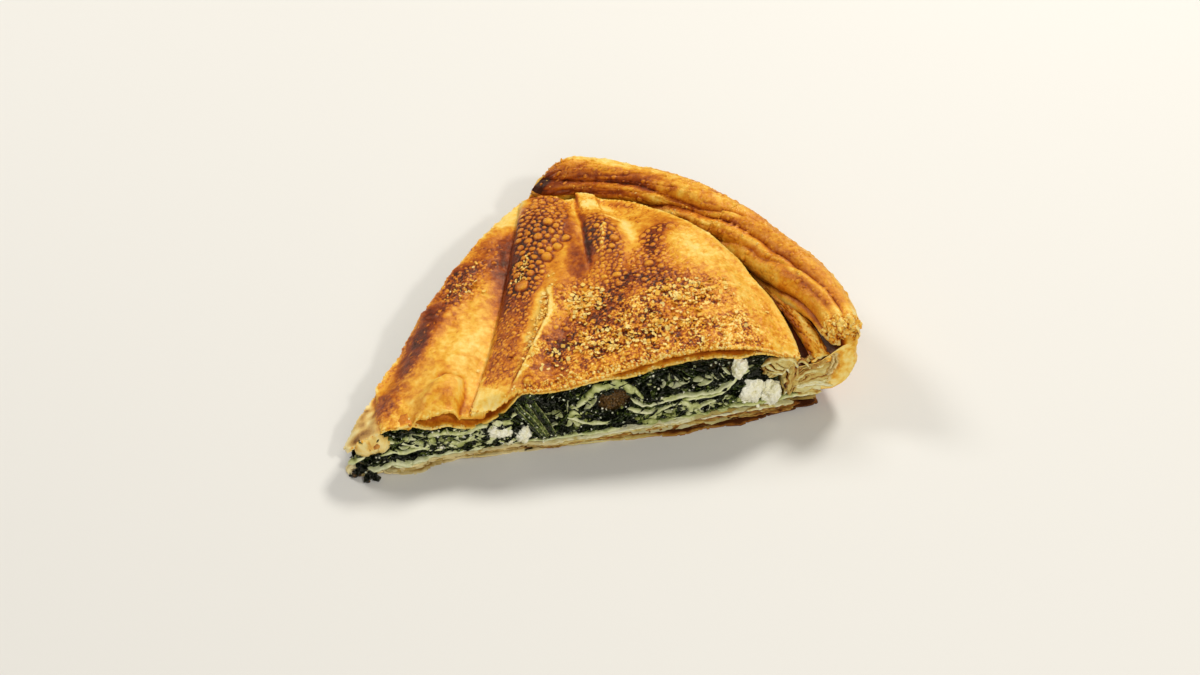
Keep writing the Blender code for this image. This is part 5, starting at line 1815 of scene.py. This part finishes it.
# Fanned layers: at the cut the folded sheets spread apart into soft crumpled lips, from the cheese at the end
# of the filling round under the gap and up beside the wall's golden skin. They are bulging stacks of soft
# sheets and lips.
def layered_lump(name, centre, radii, turn_about, width, seed):
    """A bulging stack of sheets on edge. The lines between them, pressed in and painted dark as shade, spread
    from a point (x, z).
    """
    lump = torn_lump(name, (0, 0, 0), (1, 1, 1), seed, 6)
    way = get_points(lump)
    flat = np.maximum(1.0, np.abs(way).max(1))
    points = np.array(centre) + way / flat[:, None] ** 0.3 * np.array(radii)
    x, z = points[:, 0], points[:, 2]
    face = plane_points(x, z)
    spread = (
        np.degrees(np.arctan2(z - turn_about[1], x - turn_about[0])) + 5 * noise3(face, 4.5, seed)
        + 2.4 * noise3(face, 1.7, seed + 1)
    )
    lay = spread / width
    line = 1 - 2 * np.abs(lay % 1 - 0.5)
    crack = smooth((0.40 - line) / 0.36) * smooth(0.5 + 2.2 * noise3(face * (0.5, 1, 1), 3.4, seed + 2))
    front = smooth(-(way[:, 1]) * 3)
    points[:, 1] += (
        front * (1.1 * crack - 0.5 * noise3(plane_points(np.floor(lay) * 3.3, x * 0.2), 1.4, seed + 3))
    )
    points[:, 1] += 2.4 * smooth((x - 62.5) / 7)
    set_points(lump, points)
    tone = (
        0.40 + 0.56 * noise3(plane_points(np.floor(lay) * 5.1, x * 0.15), 1.3, seed + 4)
        + 0.14 * noise3(face, 1.2, seed + 5)
    )
    # The pressed-in cracks between the sheets are painted dark: painted shade.
    paint(lump, "browning", tone + 0.85 * crack + 0.16 * smooth((x - 62) / 5))
    return lump


# Each stack: name, middle x, depth behind the cut and z, half sizes, the point (x, z) that its lines spread
# from, degrees between lines and seed.
FAN_STACKS = (
    ("fan_roll", 60.8, 1.3, 10.9, (8.0, 2.1, 5.7), (44.0, 9.0), 4.6, 611),
    ("fan_top", 62.8, 1.5, 16.2, (6.2, 1.9, 3.0), (50.0, 12.0), 6.5, 621),
    ("crumple_top", 50.0, 0.6, 18.9, (5.4, 2.1, 2.4), (42.0, 23.0), 13.0, 631),
    ("crumple_side", 53.3, 0.5, 12.6, (2.5, 2.0, 6.4), (49.0, -2.0), 9.0, 641),
    ("crumple_back", 48.4, 1.3, 15.8, (3.2, 1.6, 2.4), (44.0, 12.0), 15.0, 651),
)
# Each front lip, as for the inner sheets.
FAN_LIPS = (
    (0.7, 1.2, 0.22, ((43.6, 19.2), (46.7, 21.0), (50.1, 21.2), (53.4, 19.6), (55.6, 16.6))),
    (0.55, 1.3, 0.34, ((45.6, 17.4), (48.1, 16.6), (50.4, 15.6), (52.0, 16.6))),
    (0.6, 1.2, 0.14, ((51.4, 18.4), (52.5, 16.0), (53.2, 12.6), (52.4, 8.9), (51.3, 6.4))),
    (0.6, 1.1, 0.30, ((55.0, 18.4), (56.4, 19.2), (58.0, 18.0), (59.0, 16.2))),
    (0.6, 1.0, 0.12, ((54.8, 8.8), (58.5, 9.6), (63.1, 8.8), (66.8, 7.2))),
    (0.6, 1.1, 0.28, ((52.6, 5.8), (56.6, 6.1), (60.7, 5.9), (63.6, 5.7))),
)
fan = [
    layered_lump(name, (x, TIP[1] + deep, z), radii, turn_about, width, seed)
    for name, x, deep, z, radii, turn_about, width, seed in FAN_STACKS
]
for i, (thick, deep, tone, line) in enumerate(FAN_LIPS):
    # These lips get strong painted shade along their edges, so dark lines show between them.
    fan.append(cut_lip(f"fan_{i}", "front", thick, deep, tone, line, 600 + 7 * i, 0.45, 0.40))
fanned = join_pieces(fan, "fanned_layers")
settle(fanned, base_finish, ["rolled_rim"], 80)

# Rope: the sheets' overhang, rolled and twisted by hand into a rope that lies on the folded wall.
# A crease is where one strand goes under the next. It climbs over the rope from the pie's side outwards.
# (degrees about the pan, size): the rope's reach from the pan's middle, its radius and its height.
ROPE_REACH = (
    (-8, 88.9), (5, 88.2), (15, 86.8), (22, 86.6), (30, 87.4),
    (40, 88.2), (50, 90.6), (60, 93.2), (72, 94.8), (86, 93.8),
)
ROPE_RADIUS = (
    (-8, 5.6), (5, 7.2), (15, 8.7), (22, 8.8), (30, 8.4),
    (36, 8.9), (43, 8.6), (52, 8.1), (63, 7.2), (72, 7.9), (79, 8.3), (88, 7.6),
)
ROPE_HEIGHT = ((-8, 25.6), (15, 22.8), (40, 22.8), (60, 22.3), (72, 22.8), (86, 23.6))
# Each: depth, first and last degree about the pan, and knots (degrees about the pan, roll about the rope).
# Roll is 0 on the rope's outside, 90 on top and 180 towards the pie.
ROPE_CREASES = (
    (
        0.24, -9, 92,
        (
            (-9, -10), (15, 20), (28, 50), (35, 80), (39, 100), (44, 122), (50, 129), (61, 129), (67, 136),
            (72, 142), (92, 150),
        ),
    ),
    (
        0.30, -9, 70,
        (
            (-9, 76), (6, 86), (13, 99), (17, 104), (26, 110), (33, 115), (38, 125), (45, 138), (51, 152),
            (54, 172), (60, 205), (92, 250),
        ),
    ),
    (0.22, 12, 92, ((11, 96), (15, 106), (17, 122), (23, 141), (29, 146), (34, 170), (45, 200), (92, 290))),
    (0.18, -9, 19, ((-9, 114), (3, 119), (9, 125), (15, 128), (20, 134))),
    (0.30, -9, 92, ((-9, 168), (7, 176), (13, 184), (18, 198), (25, 215), (60, 280), (92, 340))),
    (0.16, -9, 92, ((-9, -60), (92, 70))),
    (0.16, -9, 92, ((-9, -115), (92, 5))),
)
# Near the front cut some of the creases are only shallow folds.
SOFTER = (0.45, 0.9, 0.5, 0.45, 1.0, 1.0, 1.0)
rope, along, around, closing = rim_grid("twisted_rope", 400, 156, 12)
degrees = rim_degrees(along)
roll = around * 360 - 180
squash = 1 - 0.26 * smooth((14 - degrees) / 16) * smooth(0.1 - 1.2 * np.sin(np.radians(roll)))
base_radius = through(ROPE_RADIUS, degrees) * squash
body = np.ones(len(roll))
dark = np.zeros(len(roll))
crest = np.zeros(len(roll))
band = np.zeros(len(roll))
for i, (depth, first, last, line) in enumerate(ROPE_CREASES):
    on = smooth((degrees - first) / 4) * smooth((last - degrees) / 4) * np.where(degrees < 34, SOFTER[i], 1)
    gap = (roll - through(line, degrees) + 180) % 360 - 180
    gap = gap + 5 * noise3(np.stack([degrees, gap * 0.1, 0 * gap], 1), 5, 92)
    body -= on * depth * np.exp(-np.abs(gap) / np.where(gap > 0, 9, 17))
    # dark gathers painted shade in each crease, and crest the paler crest just past it.
    dark += on * depth * 3.4 * np.exp(-np.abs(gap) / 6)
    crest += on * depth * 3 * hump(gap - 16, 7)
    band += on * depth * 3 * hump(gap - 33, 12) + 0.5 * on * depth * 3 * hump(gap + 18, 12)
lay = np.radians(roll - 1.7 * degrees)
on_rope = np.stack([degrees * 0.25, np.cos(lay) * 8, np.sin(lay) * 8], 1)
wrinkle = 1 - np.abs(noise3(on_rope + 0.5 * noise3(on_rope, 4, 81)[:, None], 1.9, 82))
spread = np.stack([degrees * 1.54, roll * 0.145, 0 * roll], 1)
rope_blisters = scatter_blisters((62, 13, 80, 13, 0), 330, 0.35, 1.0, 0.5, [])
height, dome, ring = blister_domes(spread, rope_blisters, 0.15)
lined = 0.35 + 0.65 * smooth((degrees - 30) / 14)
radius = base_radius * (body + 0.02) + 0.35 * ruffle(on_rope * (3, 1, 1), 4, 2, 83)
radius -= 0.25 * lined * smooth((wrinkle - 0.86) / 0.14)
radius *= 1 - 0.34 * clamp((degrees - (BACK_DEGREES - 5)) / 5) ** 2
radius *= 1 - 0.24 * clamp((FRONT_DEGREES + 4 - degrees) / 4) ** 2
radius = (radius + height + 0.08 * noise3(spread, 0.9, 85)) * (1 - closing)
reach = through(ROPE_REACH, degrees) + radius * np.cos(np.radians(roll))
level = through(ROPE_HEIGHT, degrees) + 0.5 * np.sin(degrees / 7) + radius * np.sin(np.radians(roll))
slant = 4.2 * smooth((level - 22) / 7) * smooth((along - 0.88) / 0.12)
along = along - slant / RIM_LENGTH
crumbs_on = smooth((FRONT_DEGREES + 5 - degrees) / 4)
broken = noise3(np.stack([degrees * 1.5, reach, level], 1), 1.4, 84)
points = on_rim(reach, np.minimum(level + 0.8 * crumbs_on * broken, HIGHEST), along)
face = plane_points(reach, level)
ragged = 1.1 + 1.6 * crumbs_on + 1.5 * noise3(face, 3.0, 86) + 1.2 * noise3(face, 1.1, 87)
points = push_in(points, along, np.maximum(0, ragged) * smooth(closing * 6) + 0.6 * hump(closing, 0.12))
set_points(rope, points)
left = smooth((degrees - 52) / 12)
right = smooth((24 - degrees) / 14)
brown = 0.36 + 0.12 * lined * ruffle(on_rope * (4, 1, 1), 7, 3, 88) + 0.05 * noise3(spread, 1.2, 89)
# Darker in the creases where one strand goes under the next, paler on the crests just past them: painted
# shade and highlight, partly browning.
brown += (
    0.40 * clamp(dark) + 0.14 * band - (0.10 + 0.10 * lined) * crest
    + 0.10 * lined * smooth((wrinkle - 0.86) / 0.14)
)
brown += (
    left
    * (
        0.16 * hump(roll - 124, 22) - 0.24 * smooth((98 - roll) / 18) * (roll > 0)
        + 0.20 * smooth((roll - 140) / 12)
    )
)
brown += 0.12 * lined * ruffle(spread, 2.6, 2, 94) + 0.10 * ruffle(spread, 9, 2, 96)
brown -= 0.07 * hump(degrees - 46, 14) + 0.04 * right
brown += right * (0.02 * hump(roll - 150, 20) - 0.10 * smooth((70 - roll) / 30) * (roll > -40))
brown -= 0.14 * hump(degrees - 20, 10) * hump(roll - 155, 18)
brown += 0.10 * ring - dome * 0.5 * np.maximum(0, brown - 0.30)
brown += 0.9 * smooth((degrees - BACK_DEGREES + 3.2) / 2) * hump(roll - 165, 24)
brown -= 0.16 * crumbs_on * smooth(2 * broken + 0.3)
crumbly_end = 0.28 + 0.35 * noise3(face, 1.2, 93)
brown = np.where(closing > 0, crumbly_end, brown)
brown -= 0.15 * smooth((3 - degrees) / 4) * (closing == 0)
paint(rope, "browning", brown)
paint(rope, "crumbs", crumbs_on)
weld(rope)
settle(rope, top_finish, ["rolled_rim"])

# Rope crumbs: bits of the sheets that broke at the cut end of the rope and on its ridges, and stick to it.
# Each is a small torn lump that sits half in the rope's surface.
shown = (np.abs(roll - 80) < 110) & (points[:, 2] < 31.2)
at_end = shown & (degrees < FRONT_DEGREES + 2.5) & (closing < 0.7)
at_back = shown & (degrees > BACK_DEGREES - 2.5) & (closing < 0.7)
on_ridge = shown & (degrees > FRONT_DEGREES + 4) & (closing == 0) & (crest > 0.45)
# Where the bits stick, how many, the largest size, and the palest and darkest browning.
ROPE_BITS = (
    (at_end, 110, 1.0, 0.02, 0.40),
    (at_back, 26, 0.7, 0.2, 0.78),
    (on_ridge, 60, 0.42, 0.05, 0.35),
)
bits = []
for chosen, count, largest, pale, dark in ROPE_BITS:
    places = np.nonzero(chosen)[0]
    for index in draw.choice(places, min(count, len(places)), replace=False):
        size = largest * draw.uniform(0.3, 1.0)
        radii = size * draw.uniform(0.45, 1.2, 3)
        bit = torn_lump(f"rope_bit_{len(bits)}", tuple(points[index]), radii, 700 + len(bits), 2)
        paint(bit, "browning", np.full(len(bit.data.vertices), draw.uniform(pale, dark)))
        bits.append(bit)
rope_bits = join_pieces(bits, "rope_crumbs")
settle(rope_bits, top_finish, None, 60)

# Narrow strand: the inner end of the twist, which comes out from under the rope near the front cut.
# It is a thin tapering roll that lies in the groove between the rope and the top sheet.
STRAND_REACH = ((-6, 82.2), (0, 81.6), (8, 80.6), (16, 80.2), (26, 81.5))
STRAND_HEIGHT = ((-6, 18.6), (0, 18.4), (8, 18.2), (16, 18.0), (26, 17.6))
STRAND_RADIUS = ((-6, 3.0), (0, 2.9), (8, 2.5), (16, 1.9), (24, 0.9), (27, 0.3))
STRAND_SHARE = 0.36
strand, along, around, closing = rim_grid("narrow_strand", 120, 48, 6)
along = along * STRAND_SHARE
degrees = rim_degrees(along)
roll = around * 360 - 180
lay = np.radians(roll - 3 * degrees)
on_rope = np.stack([degrees * 0.3, np.cos(lay) * 3, np.sin(lay) * 3], 1)
wrinkle = 1 - np.abs(noise3(on_rope, 1.3, 95))
radius = (
    through(STRAND_RADIUS, degrees)
    * (1 + 0.22 * noise3(on_rope, 2.5, 96) - 0.22 * smooth((wrinkle - 0.8) / 0.2))
)
radius = radius * (1 - closing)
reach = through(STRAND_REACH, degrees) + radius * np.cos(np.radians(roll))
level = through(STRAND_HEIGHT, degrees) + radius * np.sin(np.radians(roll))
ragged = 0.6 + 0.9 * noise3(plane_points(reach, level), 1.6, 97)
points = push_in(on_rim(reach, level, along), along, np.maximum(0, ragged) * smooth(closing * 3))
set_points(strand, points)
brown = (
    0.42 + 0.2 * noise3(on_rope, 2, 98) + 0.25 * smooth((wrinkle - 0.82) / 0.18)
    - 0.3 * hump(roll - 95, 30) * smooth((12 - degrees) / 6)
)
paint(strand, "browning", np.where(closing > 0, 0.15 + 0.3 * noise3(points, 1, 99), brown))
weld(strand)
settle(strand, top_finish, None)

# The balls that the small lumps were copied from go, and the hidden parts of the model stay in the scene.
for ball in balls.values():
    bpy.data.objects.remove(ball)
